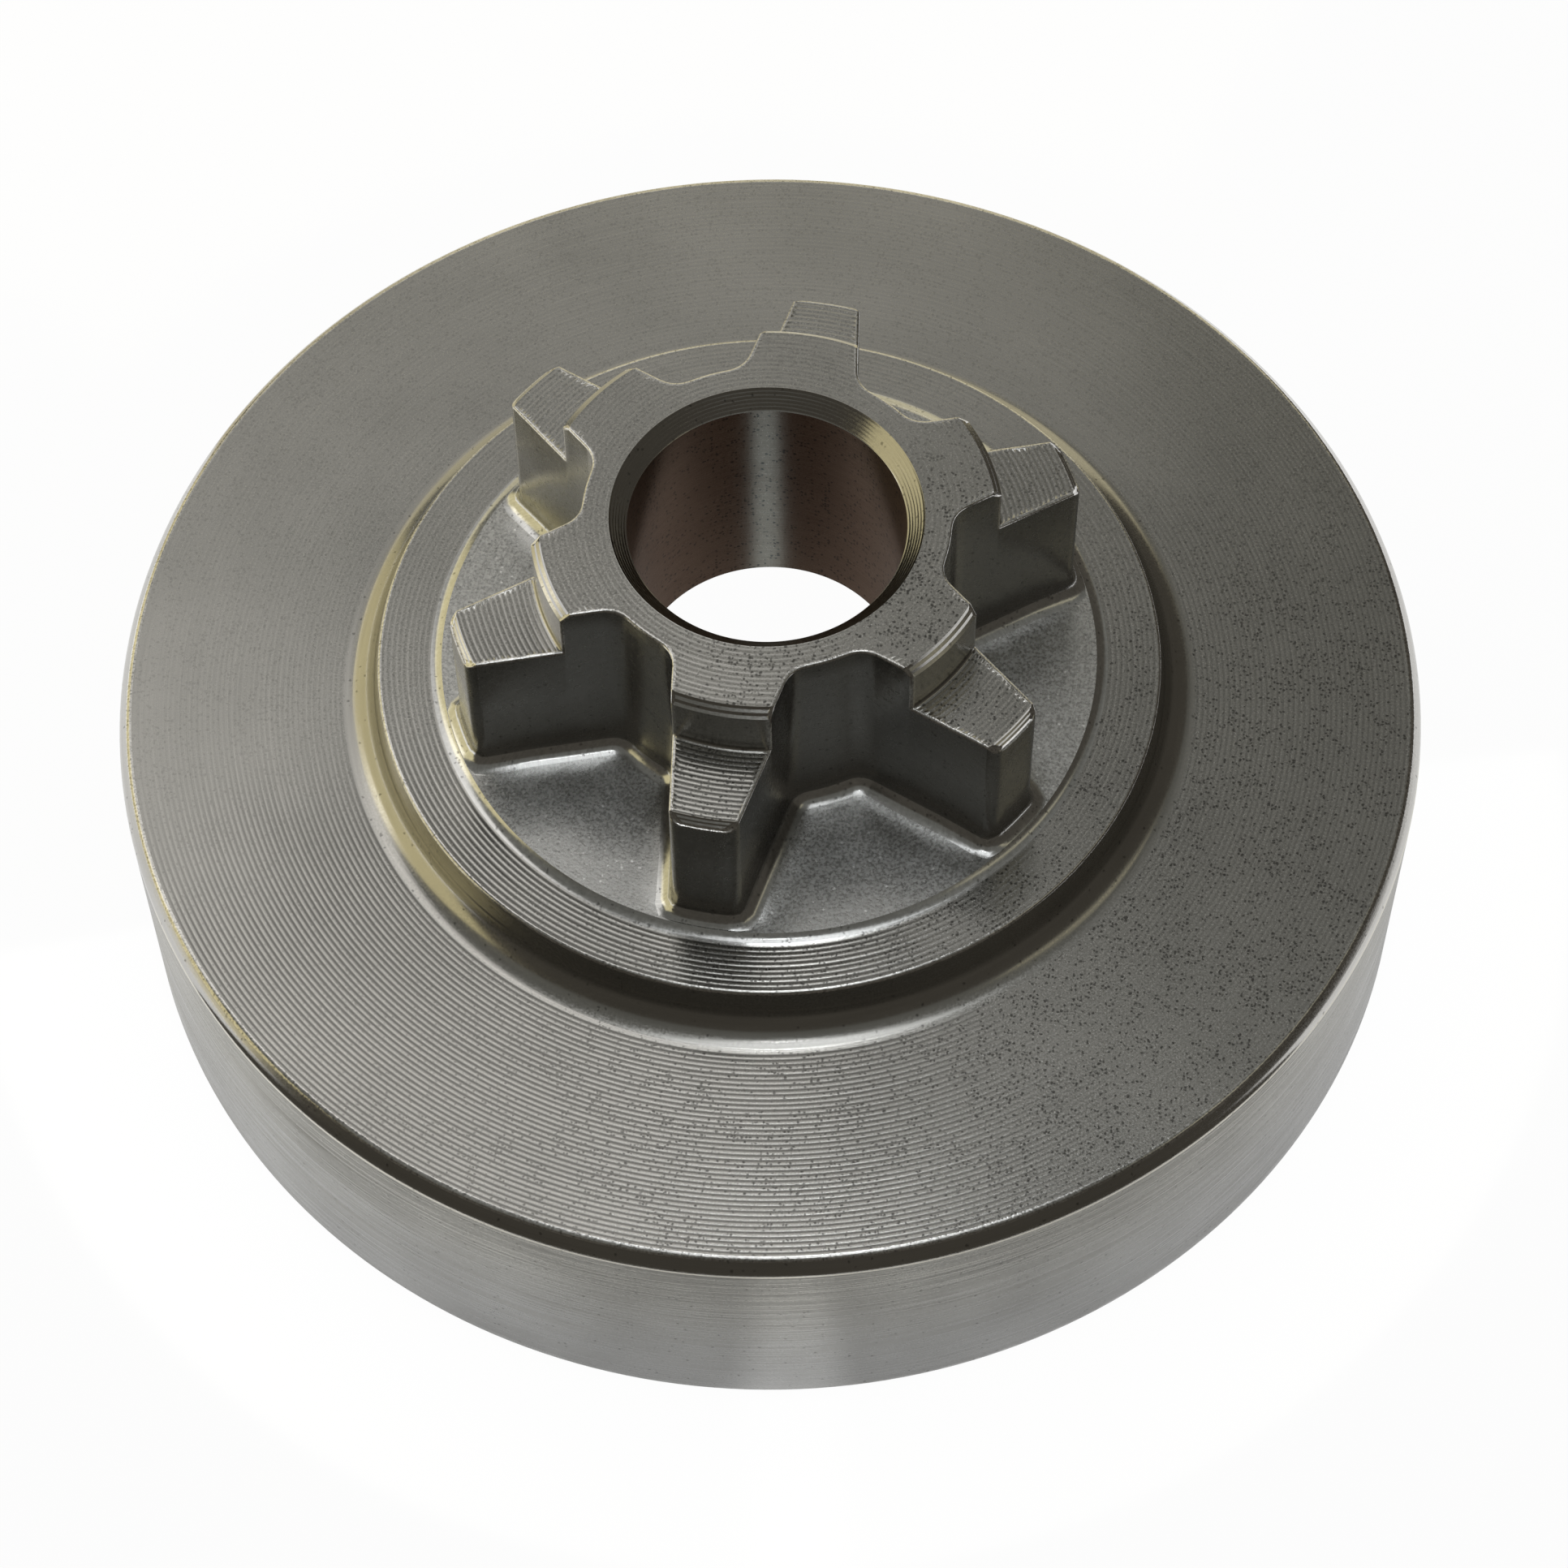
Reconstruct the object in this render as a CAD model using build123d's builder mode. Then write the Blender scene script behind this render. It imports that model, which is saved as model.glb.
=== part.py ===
from build123d import *
import math
import os

# Clutch drum with an integral spur sprocket for a chainsaw, one forged and turned steel piece.
# The drum is a cup that opens downwards. Its web carries a raised boss, and the boss carries a
# star of teeth round a plain bore. Millimetres, Z along the turning axis, teeth upwards, with
# the origin at the centre of the rim's lower edge and one pair of teeth on the Y axis.

# Drum
drum_diameter = 63.5
drum_wall = 2.5
drum_height = 13.6
web_thickness = 2.7
drum_corner_chamfer = 1.5
rim_chamfer = 0.4
drum_edge_width = 0.5
drum_edge_depth = 0.6

# Boss on the web, with the machined ring round the forged floor that the teeth stand on
boss_height = 2.4
boss_taper = 12.0
boss_fillet = 1.6
boss_thickness = 2.9
ring_width = 2.55
ring_step_width = 0.55
floor_rise = 0.2
floor_margin = 0.6
recess_inset = 2.6
recess_draft = 25.0

# Sprocket
tooth_count = 6
first_tooth_angle = 90.0
tip_diameter = 30.4
tip_width = 3.1
tip_corner_radius = 0.65
tip_chamfer = 0.4
flank_angle = 9.5
tooth_height = 8.2
tooth_base_fillet = 0.9
root_corner_radius = 1.4

# Hub and its bore for a needle cage
bore_diameter = 13.0
bore_chamfer = 0.8
bore_foot_chamfer = 0.4
hub_wall = 2.07
hub_land = 2.38
hub_step_height = 3.0
hub_chamfer = 0.43

# Air beyond the blank that a turning cut passes through
turning_air = 1.0

# Radii
drum_radius = drum_diameter / 2
drum_inner_radius = drum_radius - drum_wall
bore_radius = bore_diameter / 2
root_radius = bore_radius + hub_wall
hub_step_radius = root_radius + hub_land
tip_radius = tip_diameter / 2
floor_radius = tip_radius + floor_margin
ring_inner_radius = floor_radius + ring_step_width
boss_radius = ring_inner_radius + ring_width
boss_slope = math.tan(math.radians(boss_taper))
boss_foot_radius = boss_radius + boss_height * boss_slope
boss_blank_radius = boss_radius - floor_rise * boss_slope
recess_radius = boss_radius - recess_inset

# Levels above the rim
web_level = drum_height
web_underside = web_level - web_thickness
ring_level = web_level + boss_height
floor_level = ring_level + floor_rise
recess_level = floor_level - boss_thickness
tooth_top = floor_level + tooth_height
hub_top = tooth_top + hub_step_height

# Mouth of the recess, widened by the draft of its wall
recess_mouth_radius = recess_radius + (recess_level - web_underside) * math.tan(math.radians(recess_draft))

# Width that one tooth's straight flanks would have at the axis
tooth_axis_width = tip_width + 2 * tip_radius * math.tan(math.radians(flank_angle))


def corner(section, radius, level):
    """The vertex of a half section at a radius and a level."""
    return section.vertices().sort_by_distance((radius, level))[0]


def corners_at(outline, radius):
    """The vertices of an outline that lie on a circle about the axis."""
    return outline.vertices().filter_by(
        lambda vertex: math.isclose(Vector(vertex).length, radius, abs_tol=0.001)
    )


with BuildPart() as clutch_drum_sprocket:
    # Half section of the blank: cup, web and boss with a recess under it
    with BuildSketch(Plane.XZ) as blank_section:
        with BuildLine():
            Polyline(
                (0, recess_level),
                (recess_radius, recess_level),
                (recess_mouth_radius, web_underside),
                (drum_inner_radius, web_underside),
                (drum_inner_radius, rim_chamfer),
                (drum_inner_radius + rim_chamfer, 0),
                (drum_radius - rim_chamfer, 0),
                (drum_radius, rim_chamfer),
                (drum_radius, web_level - drum_edge_depth),
                (drum_radius - drum_edge_width, web_level),
                (boss_foot_radius, web_level),
                (boss_blank_radius, floor_level),
                (0, floor_level),
                close=True,
            )
        make_face()
        chamfer(corner(blank_section, drum_inner_radius, web_underside), drum_corner_chamfer)
        fillet(corner(blank_section, boss_foot_radius, web_level), boss_fillet)
    revolve(axis=Axis.Z)

    # Star of teeth, forged up from the boss floor with a fillet all round its foot
    with BuildSketch(Plane.XY.offset(floor_level)) as star:
        with PolarLocations(0, tooth_count, start_angle=first_tooth_angle):
            Trapezoid(
                tooth_axis_width,
                tip_radius + turning_air,
                90 - flank_angle,
                rotation=-90,
                align=(Align.CENTER, Align.MIN),
            )
        Circle(tip_radius, mode=Mode.INTERSECT)
        Circle(root_radius)
        fillet(corners_at(star, root_radius), root_corner_radius)
        fillet(corners_at(star, tip_radius), tip_corner_radius)
    extrude(amount=hub_top - floor_level)
    floor_edges = edges().filter_by_position(Axis.Z, floor_level, floor_level)
    star_foot = floor_edges.sort_by(SortBy.LENGTH)[:-1]
    fillet(star_foot, tooth_base_fillet)

    # Ring turned into the boss, with a bevelled step up to the floor
    with BuildSketch(Plane.XZ):
        with BuildLine():
            Polyline(
                (floor_radius, floor_level),
                (ring_inner_radius, ring_level),
                (boss_radius + turning_air, ring_level),
                (boss_radius + turning_air, tooth_top),
                (floor_radius, tooth_top),
                close=True,
            )
        make_face()
    revolve(axis=Axis.Z, mode=Mode.SUBTRACT)

    # Teeth turned down to their own height outside the hub, with both outer edges chamfered
    with BuildSketch(Plane.XZ):
        with BuildLine():
            Polyline(
                (hub_step_radius - hub_chamfer - turning_air, hub_top + turning_air),
                (hub_step_radius, hub_top - hub_chamfer),
                (hub_step_radius, tooth_top),
                (tip_radius - tip_chamfer, tooth_top),
                (tip_radius + turning_air, tooth_top - tip_chamfer - turning_air),
                (tip_radius + turning_air, hub_top + turning_air),
                close=True,
            )
        make_face()
    revolve(axis=Axis.Z, mode=Mode.SUBTRACT)

    # Bore through the hub, chamfered at both ends
    with Locations((0, 0, hub_top)):
        Hole(bore_radius)
    bore_edges = edges().filter_by(GeomType.CIRCLE).filter_by(
        lambda edge: math.isclose(edge.radius, bore_radius, abs_tol=1e-6)
    )
    chamfer(bore_edges.sort_by(Axis.Z)[-1], bore_chamfer)
    chamfer(bore_edges.sort_by(Axis.Z)[0], bore_foot_chamfer)

clutch_drum_sprocket.part.label = "clutch_drum_sprocket"
os.makedirs("parts", exist_ok=True)
export_step(clutch_drum_sprocket.part, "parts/clutch_drum_sprocket.step")
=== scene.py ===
import logging
import math
from dataclasses import dataclass, field
from enum import Enum
from typing import Any, Callable, Iterable, Sequence

import bmesh
import bpy
import numpy as np
from mathutils import Matrix, Vector


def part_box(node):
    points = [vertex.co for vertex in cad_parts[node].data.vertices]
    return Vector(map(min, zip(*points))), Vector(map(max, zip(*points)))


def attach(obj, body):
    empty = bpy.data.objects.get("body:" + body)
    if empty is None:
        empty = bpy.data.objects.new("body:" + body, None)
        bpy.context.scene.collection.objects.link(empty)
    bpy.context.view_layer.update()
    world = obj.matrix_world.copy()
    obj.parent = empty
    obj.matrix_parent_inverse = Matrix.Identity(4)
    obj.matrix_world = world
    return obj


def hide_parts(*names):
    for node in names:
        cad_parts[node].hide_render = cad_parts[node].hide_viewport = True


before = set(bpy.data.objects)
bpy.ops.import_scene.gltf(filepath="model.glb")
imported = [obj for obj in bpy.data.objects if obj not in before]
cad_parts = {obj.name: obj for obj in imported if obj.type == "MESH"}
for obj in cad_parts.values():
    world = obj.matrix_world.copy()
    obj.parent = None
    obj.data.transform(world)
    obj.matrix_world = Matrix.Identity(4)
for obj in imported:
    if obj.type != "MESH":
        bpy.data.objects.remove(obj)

# Looks of a one-piece clutch drum sprocket: a turned steel cup with a forged star of teeth.
# Sizes are in millimetres in the classes and become metres when a mesh is made. Z is the turning
# axis, the rim stands on Z = 0, and one tooth points along +Y, as in the solid.

LOG = logging.getLogger("drum_sprocket")
NODE = "clutch_drum_sprocket"
BODY = "root"
MM = 0.001

# Sides of every turned circle: forty to a tooth, twenty on each half of it
TOOTH_COUNT = 6
HALF_TOOTH_SIDES = 20
SEGMENTS = 2 * HALF_TOOTH_SIDES * TOOTH_COUNT
FIRST_TOOTH_ANGLE = 90

# Turning feed, which is the pitch of the scallops that the tool leaves, and their depths
FEED = 0.256
WEB_SCALLOP = 0.0056
RING_SCALLOP = 0.0122
TOP_SCALLOP = 0.01

# How much the scallops' depths vary, the seed of that, and how many depths the tops draw
SCALLOP_LEAST = 0.8
SCALLOP_MOST = 1.15
SCALLOP_SEED = 7
SCALLOP_COUNT = 80

# Rows that draw one scallop of a face, of the tops and of a bevel or wall
SAMPLES_PER_SCALLOP = 5
SAMPLES_PER_TOP_SCALLOP = 4
SAMPLES_PER_LINE = 3

# Name of the attribute that tells how deep in a scallop a point lies
FURROW = "furrow"

# Steps of a rounded edge, and the flat land between a face's last scallop and that edge
ROUND_STEPS = 5
FACE_LAND = 0.02

# Distances within which points become one, in a tree and in the whole piece, and the shortest edge
TREE_MERGE = 0.001
PIECE_MERGE = 0.005
SHORTEST_EDGE = 0.0005

# Angle in degrees past which two faces meet in a sharp edge
SHARP_ANGLE = 32

# Direction in degrees of the lit side, whose turning lines are crisp, with their full depth and their
# furrows' full painted shade, how far round it they are, as cosines, and the share of their depth that
# the dull side keeps
CRISP_ANGLE = 258.0
CRISP_FROM = 0.5
CRISP_FULL = 0.86
DULL_DEPTH = 0.3

# The same for the side with the most dark pits and for the side with faint lines, whose furrows keep
# a little of their painted shade
PITTED_ANGLE = 322.0
PITTED_FROM = 0.0
PITTED_FULL = 0.7
FAINT_ANGLE = 8.0
FAINT_FROM = 0.7
FAINT_FULL = 0.95

UP = np.array((0.0, 0.0, 1.0))
GEOMETRY, MATERIAL, VECTOR, COLOUR, NUMBER = (
    f"NodeSocket{kind}" for kind in ("Geometry", "Material", "Vector", "Color", "Float")
)
NUMBER_SOCKETS = {float: NUMBER, int: "NodeSocketInt"}
Colour = tuple[float, float, float]
Socket = bpy.types.NodeSocket


class Finish(Enum):
    """The finishes that the steel carries, in the order of the piece's material slots."""

    TURNED_FACE = "turned_face"
    TURNED_WALL = "turned_wall"
    TURNED_STEP = "turned_step"
    BURR_EDGE = "burr_edge"
    FORGED_FLOOR = "forged_floor"
    FORGED_FLANK = "forged_flank"
    FORGED_FOOT = "forged_foot"
    REAMED_BORE = "reamed_bore"
    INSIDE = "inside"


def unit(vector: np.ndarray) -> np.ndarray:
    """The vector at length one."""
    return vector / np.linalg.norm(vector)


def direction(angle: float) -> np.ndarray:
    """The plan direction at an angle in radians."""
    return np.array((math.cos(angle), math.sin(angle)))


def polar(plan: np.ndarray) -> float:
    """The angle in radians at which a plan point lies."""
    return math.atan2(plan[1], plan[0])


def strides(start: float, end: float, count: int) -> np.ndarray:
    """The ends of equal strides from one number to another."""
    return np.linspace(start, end, count + 1)[1:]


def furrow_at(radius: float) -> float:
    """How deep in a scallop a turned top lies at a radius, from zero on a ridge to one."""
    turn = radius / FEED
    across = 2 * (turn - math.floor(turn)) - 1
    return 1 - across**2


def put_in_scene(name: str, data: bpy.types.ID) -> bpy.types.Object:
    """A new object of the scene that holds the data."""
    made = bpy.data.objects.new(name, data)
    bpy.context.scene.collection.objects.link(made)
    return made


class MeshSketch:
    """Points and faces of a piece while it is drawn, in millimetres."""

    def __init__(self, finish: Finish = Finish.TURNED_FACE) -> None:
        """Starts with nothing drawn, in the finish of the faces that come next."""
        self.finish = finish
        self.points: list[np.ndarray] = []
        self.furrows: list[float] = []
        self.faces: list[tuple[tuple[int, ...], Finish]] = []

    def row(self, points: Iterable[Sequence[float]], furrow: float = 0.0) -> list[int]:
        """Adds a row of points.

        Args:
            points: Places in millimetres.
            furrow: How deep in a scallop the row lies, from zero on a ridge to one.

        Returns:
            The new points' numbers, in order.
        """
        first = len(self.points)
        self.points.extend(np.array(point, float) for point in points)
        added = range(first, len(self.points))
        self.furrows.extend(furrow for _ in added)
        return list(added)

    def face(self, *corners: int) -> None:
        """Adds a face in the present finish."""
        self.faces.append((corners, self.finish))

    def band(self, lower: Sequence[int], upper: Sequence[int]) -> None:
        """Fills the gap between two rows of equal length with quads."""
        for here in range(len(lower) - 1):
            self.face(lower[here], lower[here + 1], upper[here + 1], upper[here])

    def bands(self, rows: Sequence[Sequence[int]]) -> None:
        """Fills the gaps between all the rows, which have equal lengths."""
        for lower, upper in zip(rows, rows[1:]):
            self.band(lower, upper)

    def zip(self, lower: Sequence[int], upper: Sequence[int]) -> None:
        """Fills the gap between two rows of unequal length with triangles, shortest edge first.

        Args:
            lower: Numbers of one row's points.
            upper: Numbers of the other row's points, in the same sense.
        """
        low, high = 0, 0
        while low < len(lower) - 1 or high < len(upper) - 1:
            step_low = self._reach(lower, low + 1, upper, high)
            step_high = self._reach(lower, low, upper, high + 1)
            if step_low <= step_high:
                self.face(lower[low], lower[low + 1], upper[high])
                low += 1
            else:
                self.face(lower[low], upper[high + 1], upper[high])
                high += 1

    def _reach(self, lower: Sequence[int], low: int, upper: Sequence[int], high: int) -> float:
        """Length of the edge between two rows' points, endless past a row's end."""
        if low >= len(lower) or high >= len(upper):
            return math.inf
        return float(np.linalg.norm(self.points[lower[low]] - self.points[upper[high]]))

    def finishes(self) -> list[Finish]:
        """The finishes that the drawn faces have, in the order of the slots."""
        drawn = {finish for _, finish in self.faces}
        return [finish for finish in Finish if finish in drawn]

    def mesh(self, name: str, finish: Finish) -> bpy.types.Mesh:
        """The faces of one finish as a mesh in metres, with only the points they use.

        Args:
            name: The mesh's name.
            finish: Which faces are taken.

        Returns:
            The mesh.
        """
        chosen = [corners for corners, given in self.faces if given is finish]
        used = sorted({corner for corners in chosen for corner in corners})
        order = {corner: number for number, corner in enumerate(used)}
        faces = [tuple(order[corner] for corner in corners) for corners in chosen]
        made = bpy.data.meshes.new(name)
        made.from_pydata([tuple(self.points[corner] * MM) for corner in used], [], faces)
        furrow = made.attributes.new(FURROW, "FLOAT", "POINT")
        furrow.data.foreach_set("value", [self.furrows[corner] for corner in used])
        return made


class Section:
    """A half section that is drawn as a chain of points: radius, then level, in millimetres."""

    def __init__(self, radius: float, level: float) -> None:
        """Starts the chain at a point."""
        self.points: list[np.ndarray] = [np.array((radius, level))]

    def to(self, *points: tuple[float, float]) -> "Section":
        """Goes straight from point to point."""
        self.points.extend(np.array(point) for point in points)
        return self

    def arc(
        self, centre: tuple[float, float], size: float, start: float, end: float, steps: int
    ) -> "Section":
        """Goes along an arc.

        Args:
            centre: Radius and level of the arc's centre.
            size: The arc's own radius.
            start: First angle in degrees, counted from outwards towards upwards.
            end: Last angle in degrees.
            steps: Straight steps that the arc is made of.

        Returns:
            The section.
        """
        for angle in np.radians(np.linspace(start, end, steps + 1)):
            self.points.append(np.array(centre) + size * direction(angle))
        return self

    def corner(self, radius: float, level: float, after: Sequence[float], size: float) -> "Section":
        """Rounds a corner.

        Args:
            radius: Radius of the sharp corner.
            level: Level of the sharp corner.
            after: Radius and level of where the section goes next.
            size: How far the round reaches from the sharp corner.

        Returns:
            The section.
        """
        sharp = np.array((radius, level))
        back = unit(self.points[-1] - sharp) * size
        ahead = unit(np.array(after) - sharp) * size
        for share in np.linspace(0, 1, ROUND_STEPS + 1):
            self.points.append(sharp + (1 - share) ** 2 * back + share**2 * ahead)
        return self

    def turned(self, radius: float, level: float, scallops: int, depth: float) -> "Section":
        """Goes to a point along a line of scallops, cut to the left of the way.

        Args:
            radius: Radius of the end.
            level: Level of the end.
            scallops: How many scallops the tool left.
            depth: Their depth.

        Returns:
            The section.
        """
        start, end = self.points[-1], np.array((radius, level))
        along = end - start
        inward = unit(np.array((-along[1], along[0])))
        steps = scallops * SAMPLES_PER_LINE
        for step in range(1, steps + 1):
            across = 2 * (step / SAMPLES_PER_LINE % 1) - 1
            self.points.append(start + along * step / steps + inward * depth * (1 - across**2))
        return self

    def mesh(self, name: str) -> bpy.types.Mesh:
        """The chain as a mesh of edges in metres, in the XZ plane."""
        made = bpy.data.meshes.new(name)
        places = [(radius * MM, 0.0, level * MM) for radius, level in self.points]
        made.from_pydata(places, [(here, here + 1) for here in range(len(places) - 1)], [])
        return made


class NodeBoard:
    """Places and links the nodes of one tree."""

    def __init__(self, tree: bpy.types.NodeTree) -> None:
        """Takes the tree that the nodes go into."""
        self.tree = tree
        self.given: Any = None

    @classmethod
    def group(
        cls, name: str, kind: str, inputs: dict[str, Any], outputs: dict[str, str]
    ) -> "NodeBoard":
        """A new node group with named sockets and an input node.

        Args:
            name: The group's name.
            kind: The tree's type name.
            inputs: For each input its default number, or its socket's type where it has none.
            outputs: For each output its socket's type.

        Returns:
            The group's board, whose given attribute holds the sockets of the input node.
        """
        board = cls(bpy.data.node_groups.new(name, kind))
        sockets = board.tree.interface
        for label, value in inputs.items():
            socket_type = NUMBER_SOCKETS.get(type(value), value)
            made = sockets.new_socket(name=label, in_out="INPUT", socket_type=socket_type)
            if socket_type is not value:
                made.default_value = value
        for label, socket_type in outputs.items():
            sockets.new_socket(name=label, in_out="OUTPUT", socket_type=socket_type)
        board.given = board.add("NodeGroupInput").outputs
        return board

    @classmethod
    def material(cls, name: str) -> tuple[bpy.types.Material, "NodeBoard"]:
        """A new material without nodes, and its board."""
        made = bpy.data.materials.new(name)
        made.use_nodes = True
        made.node_tree.nodes.clear()
        return made, cls(made.node_tree)

    def add(self, kind: str, inputs: dict[Any, Any] | None = None, **settings: Any) -> bpy.types.Node:
        """Adds a node.

        Args:
            kind: The node's type name.
            inputs: Values or sockets by input name or number.
            settings: Properties of the node.

        Returns:
            The node.
        """
        node = self.tree.nodes.new(kind)
        for key, value in settings.items():
            setattr(node, key, value)
        for key, value in (inputs or {}).items():
            if isinstance(value, Socket):
                self.tree.links.new(value, node.inputs[key])
            else:
                node.inputs[key].default_value = value
        return node

    def math(self, operation: str, first: Any, second: Any = 0.0, third: Any = 0.0) -> Socket:
        """A Math node's result for two or three values or sockets."""
        values = {0: first, 1: second, 2: third}
        return self.add("ShaderNodeMath", values, operation=operation).outputs[0]

    def product(self, *factors: Any) -> Socket:
        """All the factors multiplied, from the first on."""
        result = factors[0]
        for factor in factors[1:]:
            result = self.math("MULTIPLY", result, factor)
        return result

    def vector_math(self, operation: str, first: Any, second: Any = (0.0, 0.0, 0.0)) -> Any:
        """The outputs of a Vector Math node on two vectors."""
        return self.add("ShaderNodeVectorMath", {0: first, 1: second}, operation=operation).outputs

    def combine(self, *parts: Any) -> Socket:
        """A vector from its three parts."""
        return self.add("ShaderNodeCombineXYZ", dict(enumerate(parts))).outputs[0]

    def ramp(
        self,
        value: Socket,
        span: tuple[float, float],
        ends: tuple[float, float] = (0.0, 1.0),
        smooth: bool = False,
    ) -> Socket:
        """A value carried over from one range to another.

        Args:
            value: The value.
            span: Where the range begins and ends.
            ends: What the result is at the beginning and at the end.
            smooth: Whether the result starts and stops softly.

        Returns:
            The result, which stays at its ends outside the range.
        """
        numbers = {"Value": value, 1: span[0], 2: span[1], 3: ends[0], 4: ends[1]}
        way = "SMOOTHSTEP" if smooth else "LINEAR"
        return self.add("ShaderNodeMapRange", numbers, interpolation_type=way).outputs[0]

    def blend(self, share: Socket, first: Any, second: Any) -> Socket:
        """Two colours mixed, from the first at zero to the second at one."""
        # Sockets six and seven of the Mix node, and its output two, are those for colours
        values = {"Factor": share, 6: first, 7: second}
        return self.add("ShaderNodeMix", values, data_type="RGBA").outputs[2]

    def noise(self, place: Socket, scale: Any, detail: float, roughness: float = 0.5) -> Any:
        """The outputs of a noise texture."""
        values = {"Vector": place, "Scale": scale, "Detail": detail, "Roughness": roughness}
        return self.add("ShaderNodeTexNoise", values).outputs


def geometry_group(name: str, inputs: dict[str, Any]) -> NodeBoard:
    """A Geometry Nodes tree that takes a geometry, some numbers and a finish."""
    sockets = {"Geometry": GEOMETRY, **inputs, "Finish": MATERIAL}
    return NodeBoard.group(name, "GeometryNodeTree", sockets, {"Geometry": GEOMETRY})


def end_geometry(board: NodeBoard, geometry: Socket) -> bpy.types.NodeTree:
    """Closes a tree: instances realised, seams merged, shading smooth and the finish set.

    Args:
        board: The tree.
        geometry: What the tree has made.

    Returns:
        The tree.
    """
    realised = board.add("GeometryNodeRealizeInstances", {0: geometry}).outputs[0]
    apart = {0: realised, "Distance": TREE_MERGE * MM}
    merged = board.add("GeometryNodeMergeByDistance", apart).outputs[0]
    smooth = board.add("GeometryNodeSetShadeSmooth", {0: merged}).outputs[0]
    finish = {0: smooth, "Material": board.given["Finish"]}
    board.add("NodeGroupOutput", {0: board.add("GeometryNodeSetMaterial", finish).outputs[0]})
    return board.tree


def circle_angle(board: NodeBoard, turn: Socket, sides: Socket) -> Socket:
    """The angle of one side of a circle in radians."""
    return board.math("MULTIPLY", board.math("DIVIDE", turn, sides), math.tau)


def turned_grid(board: NodeBoard, rows: Socket) -> tuple[Socket, Socket, Socket]:
    """A grid whose rows are to become circles round the axis.

    Args:
        board: The tree, which has a Sides input.
        rows: How many rows the grid has.

    Returns:
        The grid, and for each of its points the row's number and the angle in radians.
    """
    sides = board.given["Sides"]
    length = board.math("ADD", sides, 1)
    grid = board.add("GeometryNodeMeshGrid", {"Vertices X": rows, "Vertices Y": length})
    index = board.add("GeometryNodeInputIndex").outputs[0]
    # Half a point is added so that a whole number isn't rounded down
    row = board.math("FLOOR", board.math("DIVIDE", board.math("ADD", index, 0.5), length))
    place = board.math("SUBTRACT", index, board.math("MULTIPLY", row, length))
    return grid.outputs["Mesh"], row, circle_angle(board, place, sides)


def revolve_tree() -> bpy.types.NodeTree:
    """The tree that turns a half section, given as a chain of points, round the axis."""
    board = geometry_group("revolve_section", {"Sides": SEGMENTS})
    chain = board.given["Geometry"]
    size = board.add("GeometryNodeAttributeDomainSize", {0: chain}, component="MESH")
    grid, row, angle = turned_grid(board, size.outputs["Point Count"])
    sampled = board.add(
        "GeometryNodeSampleIndex", {"Geometry": chain, "Index": row}, data_type="FLOAT_VECTOR"
    )
    position = board.add("GeometryNodeInputPosition").outputs[0]
    board.tree.links.new(position, sampled.inputs["Value"])
    turned = board.add(
        "ShaderNodeVectorRotate",
        {"Vector": sampled.outputs[0], "Angle": angle},
        rotation_type="Z_AXIS",
    )
    placed = {"Geometry": grid, "Position": turned.outputs[0]}
    return end_geometry(board, board.add("GeometryNodeSetPosition", placed).outputs[0])


def turned_face_tree() -> bpy.types.NodeTree:
    """The tree that makes a flat ring with a turning tool's scallops, each of its own depth."""
    inputs = {
        "Inner Radius": 0.0,
        "Outer Radius": 0.0,
        "Level": 0.0,
        "Feed": FEED * MM,
        "Depth": WEB_SCALLOP * MM,
        "Samples": SAMPLES_PER_SCALLOP,
        "Sides": SEGMENTS,
        "Seed": SCALLOP_SEED,
    }
    board = geometry_group("turned_ring", inputs)
    given = board.given
    inner = given["Inner Radius"]
    width = board.math("SUBTRACT", given["Outer Radius"], inner)
    scallops = board.math("ROUND", board.math("DIVIDE", width, given["Feed"]))
    steps = board.math("MULTIPLY", scallops, given["Samples"])
    grid, row, angle = turned_grid(board, board.math("ADD", steps, 1))
    out = board.math("MULTIPLY", width, board.math("DIVIDE", row, steps))
    radius = board.math("ADD", inner, out)
    turn = board.math("DIVIDE", row, given["Samples"])
    # A thousandth is added so that a whole number isn't rounded down
    number = board.math("FLOOR", board.math("ADD", turn, 0.001))
    part = board.math("MULTIPLY", board.math("SUBTRACT", turn, number), 2)
    across = board.math("SUBTRACT", part, 1)
    varied = board.add(
        "FunctionNodeRandomValue",
        {"Min": SCALLOP_LEAST, "Max": SCALLOP_MOST, "ID": number, "Seed": given["Seed"]},
        data_type="FLOAT",
    )
    # The node has one set of sockets for each data type, so the float one is found by kind
    depth = next(out for out in varied.outputs if out.type == "VALUE" and out.enabled)
    hollow = board.math("SUBTRACT", board.math("MULTIPLY", across, across), 1)
    facing = board.math("COSINE", board.math("SUBTRACT", angle, math.radians(CRISP_ANGLE)))
    worn = board.ramp(facing, (CRISP_FROM, CRISP_FULL), (DULL_DEPTH, 1.0), smooth=True)
    drop = board.math("MULTIPLY", hollow, board.product(depth, worn, given["Depth"]))
    spot = board.combine(
        board.math("MULTIPLY", radius, board.math("COSINE", angle)),
        board.math("MULTIPLY", radius, board.math("SINE", angle)),
        board.math("ADD", given["Level"], drop),
    )
    marked = board.add(
        "GeometryNodeStoreNamedAttribute",
        {"Geometry": grid, "Name": FURROW, "Value": board.math("MULTIPLY", hollow, -1)},
        data_type="FLOAT",
        domain="POINT",
    )
    placed = {"Geometry": marked.outputs[0], "Position": spot}
    return end_geometry(board, board.add("GeometryNodeSetPosition", placed).outputs[0])


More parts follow.
